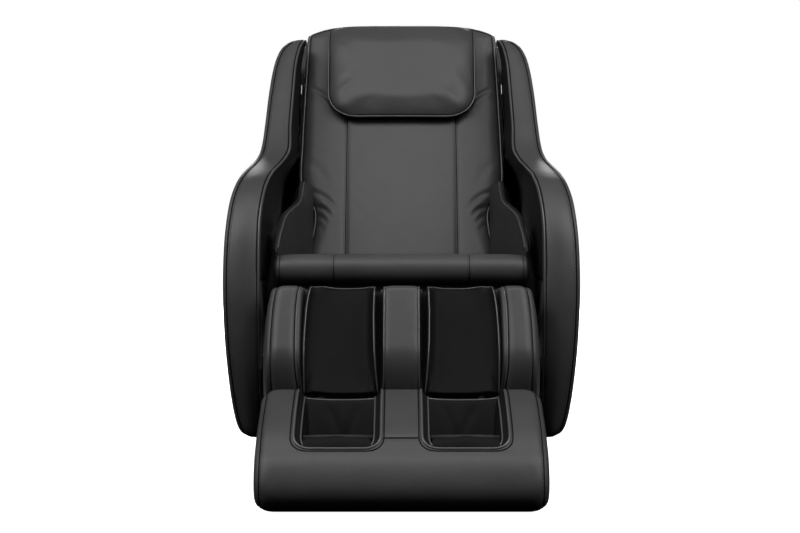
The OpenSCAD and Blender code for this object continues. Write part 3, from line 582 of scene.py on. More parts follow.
def panel_ring(z):
    """Level section of the right panel, with softly crowned faces and round edges."""
    x0, x1, y0, y1 = (float(v) for v in panel_size(z))
    room = (x1 - x0) / 2 - 0.3
    ro, ri, rr = min(14, room), min(7, room), min(12, room)
    wide = min(1.0, (x1 - x0) / 60)
    outer = [(x1 + 3.0 * wide * math.sin(math.pi * f) ** 0.7, y1 - rr + (y0 + ro - y1 + rr) * f)
             for f in np.linspace(0, 1, 90)[1:-1]]
    band = [(x1 - ro + (x0 + ri - x1 + ro) * f, y0 - 6.5 * wide * math.sin(math.pi * f))
            for f in np.linspace(0, 1, 16)[1:-1]]
    inner = [(x0 - 2.0 * wide * math.sin(math.pi * f), y0 + ri + (y1 - rr - y0 - ri) * f)
             for f in np.linspace(0, 1, 90)[1:-1]]
    rear = [(x0 + rr + (x1 - x0 - 2 * rr) * f, y1 + 2.0 * wide * math.sin(math.pi * f))
            for f in np.linspace(0, 1, 8)[1:-1]]
    pts = (outer + corner(x1 - ro, y0 + ro, ro, 0, -90, 9) + band
           + corner(x0 + ri, y0 + ri, ri, 270, 180, 6) + inner
           + corner(x0 + rr, y1 - rr, rr, 180, 90, 6) + rear
           + corner(x1 - rr, y1 - rr, rr, 90, 0, 6))
    return np.array([(x, y, z) for x, y in pts])


def side_panels():
    """Armrest, shoulder and head wing in one piece on each side."""
    zs = np.concatenate([np.linspace(81, 110, 8), np.arange(116, 976, 6.0),
                         np.linspace(978, 1007, 12)])
    rings = [panel_ring(z) for z in zs]
    line = np.concatenate([np.arange(96, 998, 6.0), [1000, 1003, 1005.5]])
    x0, x1, y0, _ = panel_size(line)
    room = (x1 - x0) / 2 - 0.3
    ro, ri = np.minimum(14, room), np.minimum(7, room)
    outer_seam = stack(x1 - ro + ro * 0.39, y0 + ro - ro * 0.92, line)
    inner_seam = stack(x0 + ri - ri * 0.72, y0 + ri - ri * 0.72, line)
    rim = side_contour(58)
    for side, sign in SIDES:
        flip = np.array([sign, 1, 1])
        verts, faces = closed_loft([r * flip for r in rings])
        arm = make(f"{side}_arm_cover", verts, faces, M["leather"])
        seams = [p * flip for p in (outer_seam, inner_seam, rim)]
        press(arm, seams[:1], 2.6, 3.4)
        press(arm, seams[1:2], 2.2, 4.0)
        press(arm, seams[2:], 3.4, 7.0)
        finish_piece(arm, "base")
        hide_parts(f"{side}_arm")
        piping(f"{side}_arm_piping", arm, seams[1:2], "base", 2.3, 0.8)
        shift = np.array([5.0 * sign, 1.5, 0])
        piping(f"{side}_arm_seam_cord", arm, [seams[0], seams[1] + shift, seams[2]], "base",
               1.5, 0.5, M["cord"])
        inset = np.array([-6.0 * sign, 0, 0])
        stitches(f"{side}_arm_stitches", arm,
                 [seams[0] + inset, side_contour(64) * flip, side_contour(52) * flip], "base")


def side_contour(offset):
    """Closed line on the outer face, a fixed distance inside the panel's side outline."""
    zs = np.linspace(81, 1007, 240)
    front = np.stack([curve(PANEL_FRONT, zs), zs], -1)
    rear = np.stack([curve(PANEL_REAR, zs), zs], -1)[::-1]
    outline = resample(np.vstack([front, rear]), 8, closed=True)
    tan = np.roll(outline, -1, 0) - np.roll(outline, 1, 0)
    tan /= np.linalg.norm(tan, axis=1)[:, None]
    inside = np.stack([-tan[:, 1], tan[:, 0]], -1)
    middle = np.array([120.0, 450.0])
    if np.mean(np.sum((middle - outline) * inside, 1)) < 0:
        inside = -inside
    pts = outline + inside * offset
    gap = np.linalg.norm(pts[:, None, :] - outline[None, :, :], axis=2).min(1)
    pts = pts[gap > offset - 1.0]
    order = resample(pts, 10, closed=True)
    for _ in range(12):
        order = 0.25 * np.roll(order, 1, 0) + 0.5 * order + 0.25 * np.roll(order, -1, 0)
    x = OUTER_HALF + curve(PANEL_OUTER, order[:, 1])
    line = stack(x, order[:, 0], order[:, 1])
    return np.vstack([line, line[:1]])


side_panels()


def arm_returns():
    """Padded strips on the arms' inner faces, close beside the back's shell."""
    levels = np.concatenate([[300, 302, 306], np.arange(314, 880, 8.0), [884, 886]])
    for side, sign in SIDES:
        rings = []
        for z in levels:
            x0 = 262.5 + 0.9 * float(ramp(z, 700, 716))
            x1 = INNER_HALF + float(curve(PANEL_INNER, z)) - 0.8
            y1 = float(curve(PANEL_REAR, z)) - 8
            y0 = y1 - 24
            soft = min(3.5, 0.3 * (x1 - x0))
            crown_x = np.linspace(x0 + soft, x1 - 0.1 * soft, 10)
            front = [(k, y0 - 1.6 * math.sin(math.pi * i / 9)) for i, k in enumerate(crown_x)]
            pts = ([(x0, y1 - soft), (x0, y0 + soft), (x0 + 0.3 * soft, y0 + 0.3 * soft)] + front
                   + [(x1, y0 + 1), (x1, y1 - 1), (x1 - 1, y1), (x0 + soft, y1),
                      (x0 + 0.3 * soft, y1 - 0.3 * soft)])
            rings.append(np.array([(px * sign, py, z) for px, py in pts]))
        verts, faces = closed_loft(rings)
        obj = make(f"{side}_arm_return_cover", verts, faces, M["painted_deep_shade"], "base")
        if side == "left":
            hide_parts("arm_returns")


arm_returns()


def arm_shade_sheets():
    """Near-black sheet over each side panel's inner face, from the inner seam to the rear: painted
    shade on that wall.
    """
    levels = np.concatenate([np.arange(430, 996, 8.0), [999, 1002]])
    for side, sign in SIDES:
        rings = []
        for z in levels:
            x0, x1, y0, y1 = (float(v) for v in panel_size(z))
            room = (x1 - x0) / 2 - 0.3
            ri, rr, wide = min(7, room), min(12, room), min(1.0, (x1 - x0) / 60)
            f = np.linspace(0.03, 0.97, 60)
            ys = y0 + ri + (y1 - rr - y0 - ri) * f
            face = x0 - 2.0 * wide * np.sin(math.pi * f)
            lip = 0.9 * np.sin(math.pi * np.clip(f, 0.04, 0.96)) ** 0.25
            rings.append(np.vstack([stack((face - lip) * sign, ys, z),
                                    stack((face + 1.2) * sign, ys, z)[::-1]]))
        verts, faces = thin_loft(rings)
        make(f"{side}_arm_shade_sheet", verts, faces, M["painted_deep_shade"], "base")


def shell_seals():
    """Rubber bulb along each side edge of the back's shell, next to the side panels."""
    ups = np.arange(330, 640, 6.0)
    out = 261.0 + 3.0 * ramp(ups, 518, 536)
    parts = [tube(on_back(sign * out, 30.0, ups), 2.0) for _, sign in SIDES]
    verts, faces = merged(parts)
    make("shell_edge_seals", verts, faces, M["rubber"], "backrest")


arm_shade_sheets()
shell_seals()

# ---------------------------------------------------------------- back cushion

CUSHION_HALF = [
    [15, 226], [40, 233], [100, 222], [158, 219], [205, 240], [245, 256], [340, 256.5],
    [491, 253], [600, 249.5], [690, 246]]
STITCH_X = 138.0
BACK_LOW, BACK_TOP, CROWN_DROP = 15, 714, 33
# Folds: from (x, s) to (x, s), depth and half width, on the +X side
FOLDS = [
    ((226, 508), (164, 450), 3.2, 6.0),
    ((236, 300), (180, 224), 0.9, 9.0),
    ((226, 214), (164, 164), 2.4, 6.5),
    ((216, 172), (174, 140), 3.8, 5.4),
    ((214, 150), (182, 116), 2.2, 5.8),
    ((214, 124), (192, 98), 1.6, 6.5),
    ((116, 222), (70, 158), 0.7, 9.0),
    ((120, 176), (88, 122), 0.5, 8.0),
]


def crown(x):
    """How far up the back its crowned top edge is."""
    return BACK_TOP - CROWN_DROP * (np.abs(x) / CUSHION_HALF[-1][1]) ** 4.6


def fold_depth(x, s):
    """Depth of the leather's folds at a place on the back."""
    total = np.zeros(np.broadcast(x, s).shape)
    ax = np.abs(x)
    for (x1, s1), (x2, s2), depth, width in FOLDS:
        d = np.array([x2 - x1, s2 - s1], float)
        length = np.hypot(*d)
        d /= length
        along = (ax - x1) * d[0] + (s - s1) * d[1]
        bend = 7.0 * np.sin(np.clip(along / length, 0, 1) * math.pi)
        across = -(ax - x1) * d[1] + (s - s1) * d[0] + bend
        f = np.clip(along / length, -0.15, 1.15)
        taper = ramp(f, -0.15, 0.12) * (1 - ramp(f, 0.55, 1.15))
        total += taper * depth * (np.exp(-(across / width) ** 2)
                                  - 0.45 * np.exp(-((across - 1.9 * width) / width) ** 2)
                                  - 0.35 * np.exp(-((across + 1.9 * width) / width) ** 2))
    return total


def back_front(x, s):
    """Depth of the back cushion's front surface (negative is towards the sitter)."""
    half = curve(CUSHION_HALF, np.minimum(s, 690))
    d = np.minimum(half - 5 - np.abs(x), crown(x) - 6 - s)
    d = np.minimum(d, (s - BACK_LOW) * 1.2)
    edge = np.clip(d / 34, 0, 1)
    t = -19.0 - 11.5 * (1 - (1 - edge) ** 2.2)
    side = np.clip((np.abs(x) - STITCH_X) / np.maximum(half - 5 - STITCH_X, 1), 0, 1)
    t = t - 3.2 * np.sin(math.pi * side) * (np.abs(x) > STITCH_X) * ramp(430 - s, -40, 40)
    mid = np.clip(1 - (x / STITCH_X) ** 2, 0, 1)
    t = t - 1.5 * mid * ramp(430 - s, -40, 40)
    seam = ramp(s, BACK_LOW, 40) * (1 - ramp(s, 640, 700))
    groove = np.abs(np.abs(x) - STITCH_X)
    t = t + seam * (4.2 * np.exp(-(groove / 6.0) ** 2) - 1.4 * np.exp(-(groove / 2.2) ** 2))
    return t + fold_depth(x, s) * ramp(d, 0, 14)


def panel_cushion(front, outward, depth, gusset, back=None):
    """Closed cushion from a front grid; the gusset is a list of (outwards, depth) steps.
    A back grid of the same size closes it with a real panel, otherwise the back is flat."""
    n, m = front.shape[:2]
    verts = front.reshape(-1, 3).tolist()
    faces = grid_faces(n, m)
    loop = ([(i, 0) for i in range(n)] + [(n - 1, j) for j in range(1, m)]
            + [(i, m - 1) for i in range(n - 2, -1, -1)] + [(0, j) for j in range(m - 2, 0, -1)])
    index = [i * m + j for i, j in loop]
    base = np.array([front[i, j] for i, j in loop])
    out = np.array([outward[i, j] for i, j in loop])
    out /= np.linalg.norm(out, axis=1)[:, None] + 1e-9
    for _ in range(2):
        out = 0.25 * np.roll(out, 1, 0) + 0.5 * out + 0.25 * np.roll(out, -1, 0)
    rings = [base + out * off + depth * dep for off, dep in gusset]
    if back is None:
        last = rings[-1]
        rings += [last.mean(0) + (last - last.mean(0)) * k for k in (0.9, 0.6, 0.3)]
    previous = index
    for ring in rings:
        current = list(range(len(verts), len(verts) + len(loop)))
        verts += ring.tolist()
        faces += bridge(previous, current)
        previous = current
    if back is None:
        faces.append(tuple(previous))
    else:
        start = len(verts)
        verts += back.reshape(-1, 3).tolist()
        faces += grid_faces(n, m, start=start) + bridge(previous, [start + i for i in index])
    return verts, faces


BACK_DEPTH = np.array([0, math.cos(LEAN), -math.sin(LEAN)])


def columns(fractions, half, keep):
    """Across positions that keep a column on each long seam, as x = f * half."""
    f = np.asarray(fractions, float)
    outer = np.sign(f) * (keep + (np.abs(f) - 0.5) / 0.5 * (half - keep))
    return np.where(np.abs(f) <= 0.5, f / 0.5 * keep, outer)


def back_cushion():
    """Back cushion in three fields, with its piping, near-black cords that paint the shade of its
    seams, and stitches.
    """
    v = np.linspace(0, 1, 150)
    near = np.array([0.0, 1.6, 3.2, 5.2, 8.0, 12.0]) / STITCH_X * 0.5
    inner = np.concatenate([np.linspace(0, 0.5 - 0.055, 18), (0.5 - near)[::-1]])
    wide = near * STITCH_X / 115
    outer = np.concatenate([0.5 + wide[1:], np.linspace(0.5 + wide[-1] + 0.02, 1, 18)])
    right = np.concatenate([inner, outer])
    f = np.concatenate([-right[::-1], right[1:]])
    side_s = BACK_LOW + (BACK_TOP - CROWN_DROP - BACK_LOW) * v
    half = curve(CUSHION_HALF, side_s) - 5
    x = np.array([columns(f, h, STITCH_X) for h in half])
    s = BACK_LOW + (np.minimum(crown(x), BACK_TOP) - 6 - BACK_LOW) * v[:, None]
    front = on_back(x, back_front(x, s), s)
    sideways = np.broadcast_to(np.sign(f), x.shape) * (np.abs(f) > 0.99)
    out = on_back(sideways, 0, np.zeros_like(x)) - on_back(0, 0, 0)
    up = on_back(0, 0, 1) - on_back(0, 0, 0)
    out[-1] += up
    out[0] -= up
    verts, faces = panel_cushion(
        front, out, BACK_DEPTH,
        [(2.5, 1.5), (4.6, 5), (5.6, 10), (5.6, 20), (5.0, 28), (2, 36), (-4, 41)])
    obj = make("back_cushion_cover", verts, faces, M["leather"])
    edge = np.concatenate([front[:, 0], front[-1], front[::-1, -1]])[3:-3]
    press(obj, [edge], 1.5, 3.0)
    finish_piece(obj, "backrest")
    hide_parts("back_cushion")
    piping("back_cushion_piping", obj, [edge], "backrest", 2.2, 0.9)
    inner_edge = np.concatenate([front[3:-2, 1], front[-2, 1:-1], front[-3:2:-1, -2]])
    piping("back_cushion_edge_shade_cord", obj, [inner_edge], "backrest", 1.2, 0.2, M["cord"])
    ss = np.arange(24, 690, 6.0)
    rows = []
    for sign in (-1, 1):
        for shift in (-4.4, 4.4):
            xx = np.full_like(ss, sign * (STITCH_X + shift))
            rows.append(on_back(xx, back_front(xx, ss), ss))
    stitches("back_cushion_stitches", obj, rows, "backrest")
    cords = [on_back(np.full_like(ss, sign * STITCH_X), back_front(sign * STITCH_X, ss) + 1, ss)
             for sign in (-1, 1)]
    piping("back_cushion_seam_cords", obj, cords, "backrest", 1.2, 0.2, M["cord"])


back_cushion()

# ---------------------------------------------------------------- head pillow

PILLOW_HALF, PILLOW_LOW, PILLOW_HIGH, PILLOW_CORNER = 190.0, 413.0, 699.0, 74.0


def pillow_edge(x, s):
    """Distance inside the pillow's outline, with its two round lower corners."""
    qx = np.abs(x) - (PILLOW_HALF - PILLOW_CORNER)
    qs = PILLOW_LOW + PILLOW_CORNER - s
    round_part = PILLOW_CORNER - np.hypot(np.maximum(qx, 0), np.maximum(qs, 0))
    return np.minimum(round_part, np.minimum(PILLOW_HALF - np.abs(x), s - PILLOW_LOW))


def pillow_turn(s):
    """How far the pillow turns back over the top of the cushion."""
    return 42 * np.clip((s - 606) / 94, 0, 1) ** 2.6


def pillow_front(x, s):
    """Depth of the pillow's front before it is swollen."""
    d = np.maximum(pillow_edge(x, s), 0)
    edge = np.clip(d / 54, 0, 1)
    t = -52.0 - 22.0 * (1 - (1 - edge) ** 2.2) - 3.0 * np.clip(1 - (x / PILLOW_HALF) ** 2, 0, 1)
    return t + pillow_turn(s)


def head_pillow():
    """Head pillow that hangs over the top of the back cushion."""
    a = np.linspace(0, 1, 16)
    low = PILLOW_LOW + PILLOW_CORNER * (1 - np.cos(a * math.pi / 2))
    s_rows = np.concatenate([low, np.linspace(low[-1] + 6, PILLOW_HIGH, 38)])
    q = np.maximum(PILLOW_LOW + PILLOW_CORNER - s_rows, 0)
    half = PILLOW_HALF - PILLOW_CORNER + np.sqrt(np.maximum(PILLOW_CORNER**2 - q**2, 0))
    f = np.sin(np.linspace(-1, 1, 72) * math.pi / 2 * 0.94) / math.sin(math.pi / 2 * 0.94)
    x = half[:, None] * f[None, :]
    s = np.broadcast_to(s_rows[:, None], x.shape)
    wave = 0.5 * np.sin(x / 23.0 + s / 31.0) * np.sin(s / 19.0)
    front = on_back(x, pillow_front(x, s) + wave * ramp(pillow_edge(x, s), 0, 30), s)
    up = on_back(0, 0, 1) - on_back(0, 0, 0)
    out = np.zeros(front.shape)
    qx = np.maximum(np.abs(x) - (PILLOW_HALF - PILLOW_CORNER), 0) * np.sign(x)
    qs = -np.maximum(PILLOW_LOW + PILLOW_CORNER - s, 0)
    out[..., 0] = qx
    out += qs[..., None] * up
    out[-1] += up * 20
    height = PILLOW_HIGH - PILLOW_LOW
    back_s = PILLOW_LOW + 17 + (s - PILLOW_LOW) * (height - 30) / height
    back = on_back(x * 0.92, -33.0 + pillow_turn(s) + 0.8 * wave, back_s)
    verts, faces = panel_cushion(
        front, out, BACK_DEPTH,
        [(1.6, 2), (2.0, 5), (0.5, 9), (-3, 13), (-8, 17), (-12, 18.5)], back)
    obj = make("head_pillow_cover", verts, faces, M["leather"])
    inflate(obj, 3.5, lambda x, y, z: depth_on_back(y, z) > -44)
    edge = np.concatenate([front[:, 0][::-1], front[0], front[:, -1]])
    press(obj, [edge], 1.2, 3.0)
    finish_piece(obj, "pillow")
    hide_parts("head_pillow")
    piping("head_pillow_piping", obj, [edge], "pillow", 2.3, 1.0)
    inner_edge = np.concatenate([front[:2:-1, 3], front[3, 3:-3], front[3:, -4]])
    piping("head_pillow_edge_shade_cord", obj, [inner_edge], "pillow", 1.2, 0.2, M["cord"])


head_pillow()

# ---------------------------------------------------------------- hip bolsters

BOLSTER_TOP = [
    [-165, 440], [-150, 480], [-120, 512], [-85, 535], [-50, 552], [-10, 567], [40, 580],
    [100, 593], [150, 604], [195, 621], [225, 640], [268, 650]]
BOLSTER_OUT = [[-165, 286], [-50, 283], [0, 280], [60, 270], [110, 260], [150, 256], [268, 254]]
BOLSTER_IN = [[-165, 275], [-60, 266], [40, 248], [150, 224], [268, 222]]


def bolster_sizes(y):
    """Top, foot, inner and outer limits of the right bolster at a place along the seat."""
    top = curve(BOLSTER_TOP, y)
    cushion = on_back(0, -33, 0)
    foot = np.maximum(374, cushion[2] + (y - cushion[1]) / math.tan(LEAN))
    return top, np.minimum(foot, top - 5), curve(BOLSTER_IN, y), curve(BOLSTER_OUT, y)


def bolster_ring(y, inset):
    """Section of the right bolster, drawn in by the inset at its ends."""
    top, foot, x0, x1 = (float(v) for v in bolster_sizes(y))
    top, foot, x0, x1 = top - inset, foot + inset, x0 + inset, x1 - inset
    r = min(8, (x1 - x0) / 2 - 0.5, (top - foot) / 3)
    out = min(302 - inset, x1 + (top - foot) * 0.2)
    h = top - foot
    pts = [(x0, foot), (x0 - 1.5, foot + 0.28 * h), (x0 + 0.06 * (x1 - x0), foot + 0.6 * h),
           (x0 + 0.3 * (x1 - x0), foot + 0.86 * h), (x1 - 1.6 * r, top - 0.3 * r),
           (x1 - 0.8 * r, top), (x1 - 0.15 * r, top - 0.4 * r), (x1, top - 1.4 * r),
           (out, foot + 0.4 * h), (out, foot)]
    ring = spline(np.array(pts), 6, closed=True)
    return np.array([(p[0], y, max(p[1], foot)) for p in ring])


def hip_bolsters():
    """Bolsters between the seat and the side panels."""
    ys = np.concatenate([[-144, -142, -138], np.arange(-134, 262, 4.0), [263, 266]])
    inset = np.interp(ys, [-144, -138, -130, 258, 266], [7, 1.5, 0, 0, 3])
    line = np.arange(-134, 264, 5.0)
    top, _, x0, x1 = bolster_sizes(line)
    r = np.minimum(8, (x1 - x0) / 2 - 0.5)
    seam = stack(x1 - 1.6 * r, line, top - 0.3 * r)
    for side, sign in SIDES:
        flip = np.array([sign, 1, 1])
        verts, faces = closed_loft([bolster_ring(y, i) * flip for y, i in zip(ys, inset)])
        obj = make(f"{side}_bolster_cover", verts, faces, M["painted_half_shade"])
        press(obj, [seam * flip], 2.0, 3.2)
        finish_piece(obj, "base")
        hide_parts(f"{side}_hip_bolster")
        piping(f"{side}_bolster_piping", obj, [seam * flip], "base", 2.2, 0.9)


hip_bolsters()

# ---------------------------------------------------------------- seat

SEAT_HALF = [[-143, 271], [-60, 262], [40, 244], [150, 220]]
SEAT_TOP = [[-143, 474], [-120, 477], [-40, 464], [40, 446], [150, 428]]
SEAT_SEAM, SEAT_FRONT, SEAT_REAR = 120.0, -142, 138
ROLL_SEAM, ROLL_END_SEAM = 148.5, 268.0
ROLL_Y, ROLL_Z, ROLL_R, ROLL_HALF, ROLL_ROUND = -180, 453, 34, 283, 18


def seat_surface(x, y):
    """Height of the seat cushion's top before it is swollen."""
    w = curve(SEAT_HALF, y)
    top = curve(SEAT_TOP, y) + 2
    d = np.minimum(w - np.abs(x), np.minimum(y - SEAT_FRONT, SEAT_REAR - y) * 1.3)
    edge = np.clip(d / 26, 0, 1)
    z = top - 22 * (1 - edge) ** 2.4
    outer = np.clip((np.abs(x) - SEAT_SEAM) / np.maximum(w - SEAT_SEAM, 1), 0, 1)
    field = np.where(np.abs(x) < SEAT_SEAM, 1 - (x / SEAT_SEAM) ** 2, np.sin(math.pi * outer))
    z = z + 2.5 * np.clip(field, 0, 1)
    return z - 4.0 * np.exp(-((np.abs(x) - SEAT_SEAM) / 8.0) ** 2) * ramp(y, SEAT_FRONT, -110)


def seat_cushion():
    """Seat cushion in three fields with two stitched seams."""
    y_rows = np.concatenate([[-142, -140, -137, -133], np.arange(-128, 124, 5.0),
                             [126, 130, 134, 138]])
    half = curve(SEAT_HALF, y_rows)
    f = np.sin(np.linspace(-1, 1, 90) * math.pi / 2 * 0.9) / math.sin(math.pi / 2 * 0.9)
    x = half[:, None] * f[None, :]
    y = np.broadcast_to(y_rows[:, None], x.shape)
    front = stack(x, y, seat_surface(x, y))
    out = np.zeros(front.shape)
    out[:, 0, 0] = -1
    out[:, -1, 0] = 1
    out[0, :, 1] -= 1
    out[-1, :, 1] += 1
    verts, faces = panel_cushion(front, out, np.array([0, 0, -1.0]),
                                 [(0.6, 2), (0.8, 8), (0.5, 16), (-1, 22)])
    for v in verts:
        v[2] = max(v[2], 372.4)
    obj = make("seat_cushion_cover", verts, faces, M["painted_half_shade"])
    inflate(obj, 5.0, lambda x, y, z: (z < 400) | (np.abs(x) > curve(SEAT_HALF, y) - 4)
            | (y < -138) | (y > 132))
    ys = np.arange(-120, 130, 6.0)
    seams = [stack(sign * SEAT_SEAM, ys, seat_surface(np.full_like(ys, sign * SEAT_SEAM), ys))
             for sign in (-1, 1)]
    finish_piece(obj, "base")
    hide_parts("seat_cushion")
    rows = [s + np.array([k, 0, 0]) for s in seams for k in (-4.0, 4.0)]
    stitches("seat_cushion_stitches", obj, rows, "base")


def seat_roll():
    """Rolled front edge of the seat, with two seams and two sewn ends."""
    turn = ROLL_ROUND * (1 - np.cos(np.linspace(0.08, 1, 9) * math.pi / 2))
    xs = np.concatenate([turn - ROLL_HALF, np.arange(-262, 262.1, 4.0), ROLL_HALF - turn[::-1]])
    rings = []
    for x in xs:
        taper = np.clip((abs(x) - 222) / 61, 0, 1)
        e = np.clip((abs(x) - 270) / 13, 0, 1)
        r = (34.2 - 3.2 * taper**2) * math.sqrt(max(1 - e**2, 0.0)) ** 0.9
        a = np.linspace(0, 2 * math.pi, 44, endpoint=False)
        rings.append(stack(x, ROLL_Y + r * np.cos(a), ROLL_Z - 2.0 * taper**2 + r * np.sin(a)))
    verts, faces = closed_loft(rings)
    obj = make("seat_roll_cover", verts, faces, M["leather"])
    a = np.radians(np.linspace(100, 290, 40))

    def hoop(x, r):
        return stack(x, ROLL_Y + r * np.cos(a), ROLL_Z + r * np.sin(a))

    seams = [hoop(s * ROLL_SEAM, ROLL_R) for s in (-1, 1)]
    ends = [hoop(s * ROLL_END_SEAM, ROLL_R - 2) for s in (-1, 1)]
    press(obj, seams, 1.6, 3.2)
    press(obj, ends, 1.4, 3.2)
    finish_piece(obj, "base")
    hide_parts("seat_front_roll")
    piping("seat_roll_seam_cords", obj, seams + ends, "base", 1.1, 0.1, M["cord"])
    rows = [hoop(s * (ROLL_SEAM + k), ROLL_R) for s in (-1, 1) for k in (-4, 4)]
    stitches("seat_roll_stitches", obj, rows, "base")


def seat_gusset():
    """Slack fabric that closes the gap between the seat cushion and the back."""
    anchor = on_back(0, 2, 18)
    line = spline(np.array([(126, 402), (138, 394), (154, 389), (174, 396), (190, 416),
                            (anchor[1], anchor[2])]), 8)
    across = np.linspace(-216, 216, 60)
    slack = 1.5 * np.sin(across / 17.0)[:, None] * np.sin(np.linspace(0, math.pi, len(line)))
    g = stack(across[:, None], line[None, :, 0], line[None, :, 1] + slack)
    obj = make("seat_gusset", g.reshape(-1, 3), grid_faces(*g.shape[:2]), M["painted_deep_shade"])
    thicken(obj, 3)
    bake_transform(obj)


seat_cushion()
seat_gusset()
seat_roll()

# ---------------------------------------------------------------- leg rest

PAD_OUT = [[-9, 268], [6, 277], [30, 282], [80, 286], [160, 287.5], [230, 285]]
PAD_SEAM = [[-9, 213], [10, 218], [50, 222], [120, 222.5], [180, 221], [230, 213]]
PAD_BASE, PAD_TOP, PAD_END = 22, -9, 230
CENTER_PAD, CENTER_SEAM = 39.5, 37.0


def pad_ring(down, x_in, x_out, seam_in, seam_out, low, front, soft):
    """Section of a calf pad across (x) and outwards, at one place down its length."""
    b, rise = x_out - x_in, front - low
    pts = [(x_in, low), (x_in, low + 0.3 * rise),
           (x_in + 0.25 * (seam_in - x_in), low + 0.68 * rise),
           (seam_in, front - soft), (seam_in + 0.16 * b, front - 0.15 * soft),
           ((seam_in + seam_out) / 2, front), (seam_out - 0.16 * b, front - 0.15 * soft),
           (seam_out, front - soft), (x_out - 0.5, low + 0.66 * rise),
           (x_out, low + 0.35 * rise), (x_out, low)]
    ring = spline(np.array(pts), 5, closed=True)
    return on_leg(ring[:, 0], np.maximum(ring[:, 1], low), down)


def pad_depth(down):
    """How far out a calf pad stands: crowned, rounded at the top and rolled under below."""
    top = np.clip((down - PAD_TOP) / 22, 0, 1)
    end = np.clip((PAD_END - down) / 92, 0, 1)
    return PAD_BASE + 62 * (1 - 0.75 * (1 - top) ** 2.6) * (1 - 0.9 * (1 - end) ** 2.0)


def outer_calf_pad(side, sign, downs, line):
    """Pad at one side of the leg rest, piped on its inner seam, with near-black cords that paint
    seam shade on its outer seam and beside the piping.
    """
    flip = np.array([sign, 1, 1])
    rings = []
    for d in downs:
        x_out, seam = float(curve(PAD_OUT, d)), float(curve(PAD_SEAM, d))
        ring = pad_ring(d, 207, x_out, seam, x_out - 11, PAD_BASE, float(pad_depth(d)), 9)
        rings.append(ring * flip)
    verts, faces = closed_loft(rings)
    obj = make(f"{side}_calf_cover", verts, faces, M["leather"])
    x_out, seam = curve(PAD_OUT, line), curve(PAD_SEAM, line)
    depth = pad_depth(line) - 9
    inner, outer = on_leg(seam, depth, line) * flip, on_leg(x_out - 11, depth, line) * flip
    press(obj, [inner, outer], 1.8, 3.2)
    finish_piece(obj, "leg_rest")
    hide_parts(f"{side}_calf_pad")
    piping(f"{side}_calf_piping", obj, [inner], "leg_rest", 2.1, 0.8)
    beside = inner + np.array([4.5 * sign, 0, 0])
    piping(f"{side}_calf_seam_cord", obj, [outer, beside], "leg_rest", 1.3, 0.3, M["cord"])
    inset = np.array([5.0 * sign, 0, 0])
    stitches(f"{side}_calf_stitches", obj, [outer - inset, inner + inset], "leg_rest")


def center_calf_pad(downs, line):
    """Narrow pad between the two calf channels."""
    rings = [pad_ring(d, -CENTER_PAD, CENTER_PAD, -CENTER_SEAM, CENTER_SEAM, PAD_BASE,
                      float(pad_depth(d)), 7) for d in downs]
    verts, faces = closed_loft(rings)
    obj = make("center_calf_cover", verts, faces, M["leather"])
    seams = [on_leg(np.full_like(line, s * CENTER_SEAM), pad_depth(line) - 7, line)
             for s in (-1, 1)]
    press(obj, seams, 1.6, 3.0)
    finish_piece(obj, "leg_rest")
    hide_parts("center_calf_pad")
    piping("center_calf_piping", obj, seams, "leg_rest", 2.0, 0.8)
    rows = [s + np.array([-5.0 * k, 0, 0]) for s, k in zip(seams, (-1, 1))]
    stitches("center_calf_stitches", obj, rows, "leg_rest")


def calf_pads():
    """The two outer pads and the middle one."""
    downs = np.concatenate([[-9, -8, -6, -3], np.arange(1, 222, 5.0), [223, 226, 228.5, 230]])
    line = np.arange(-4, 226, 5.0)
    for side, sign in SIDES:
        outer_calf_pad(side, sign, downs, line)
    center_calf_pad(downs, line)


def calf_liners():
    """Soft trough between the pads of one calf channel, with a corded free edge."""
    flap_out = [[-9, 191], [20, 197], [50, 201], [120, 204.5], [230, 204.5]]
    flap_in = [[-9, 57], [60, 59], [150, 57], [230, 50]]
    downs = np.concatenate([[-7, -5, -2], np.arange(2, 226, 6.0), [228]])
    back = 35
    for side, sign in SIDES:
        flip = np.array([sign, 1, 1])
        rings = []
        for d in downs:
            a, b = float(curve(flap_in, d)), float(curve(flap_out, d))
            lip = float(pad_depth(d)) - PAD_BASE
            hi, lo = 0.83 * lip + PAD_BASE, 0.86 * lip + PAD_BASE
            section = np.array([
                (a, hi), (a + 3.5, 0.8 * hi + 0.2 * back), (a + 12, back + 9), (a + 27, back + 1.5),
                (125, back - 1.5), (b - 44, back + 2), (b - 22, back + 12),
                (b - 8, 0.5 * (back + lo) + 3), (b, lo)])
            c = spline(section, 7)
            t = np.gradient(c, axis=0)
            t /= np.linalg.norm(t, axis=1)[:, None]
            rear = c + np.stack([t[:, 1], -t[:, 0]], -1) * 4.5
            rear[:, 1] = np.maximum(rear[:, 1], PAD_BASE + 0.3)
            rings.append(np.vstack([on_leg(c[:, 0], c[:, 1], d),
                                    on_leg(rear[:, 0], rear[:, 1], d)[::-1]]) * flip)
        verts, faces = thin_loft(rings)
        half = len(rings[0]) // 2
        obj = make(f"{side}_calf_liner", verts, faces, M["painted_deep_shade"], "leg_rest")
        edges = [np.array([r[0] for r in rings])[::-1], rings[0][:half],
                 np.array([r[half - 1] for r in rings])]
        piping(f"{side}_calf_liner_piping", obj, [np.vstack(edges)], "leg_rest", 1.3, 0.2)
        if side == "left":
            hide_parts("calf_back_pads")


def slab(name, mat, body, x, a, b, low, high, place):
    """Thin upholstered panel: rounded section of half width x between depths a and b."""
    mid, half = (a + b) / 2, (b - a) / 2
    section = np.array([(-x, mid), (-x + half, a), (0, a), (x - half, a), (x, mid),
                        (x - half, b), (0, b), (-x + half, b)])
    heights = np.linspace(low, high, max(3, int((high - low) / 8.0)))
    verts, faces = closed_loft([place(section[:, 0], section[:, 1], h) for h in heights])
    return make(name, verts, faces, mat, body)


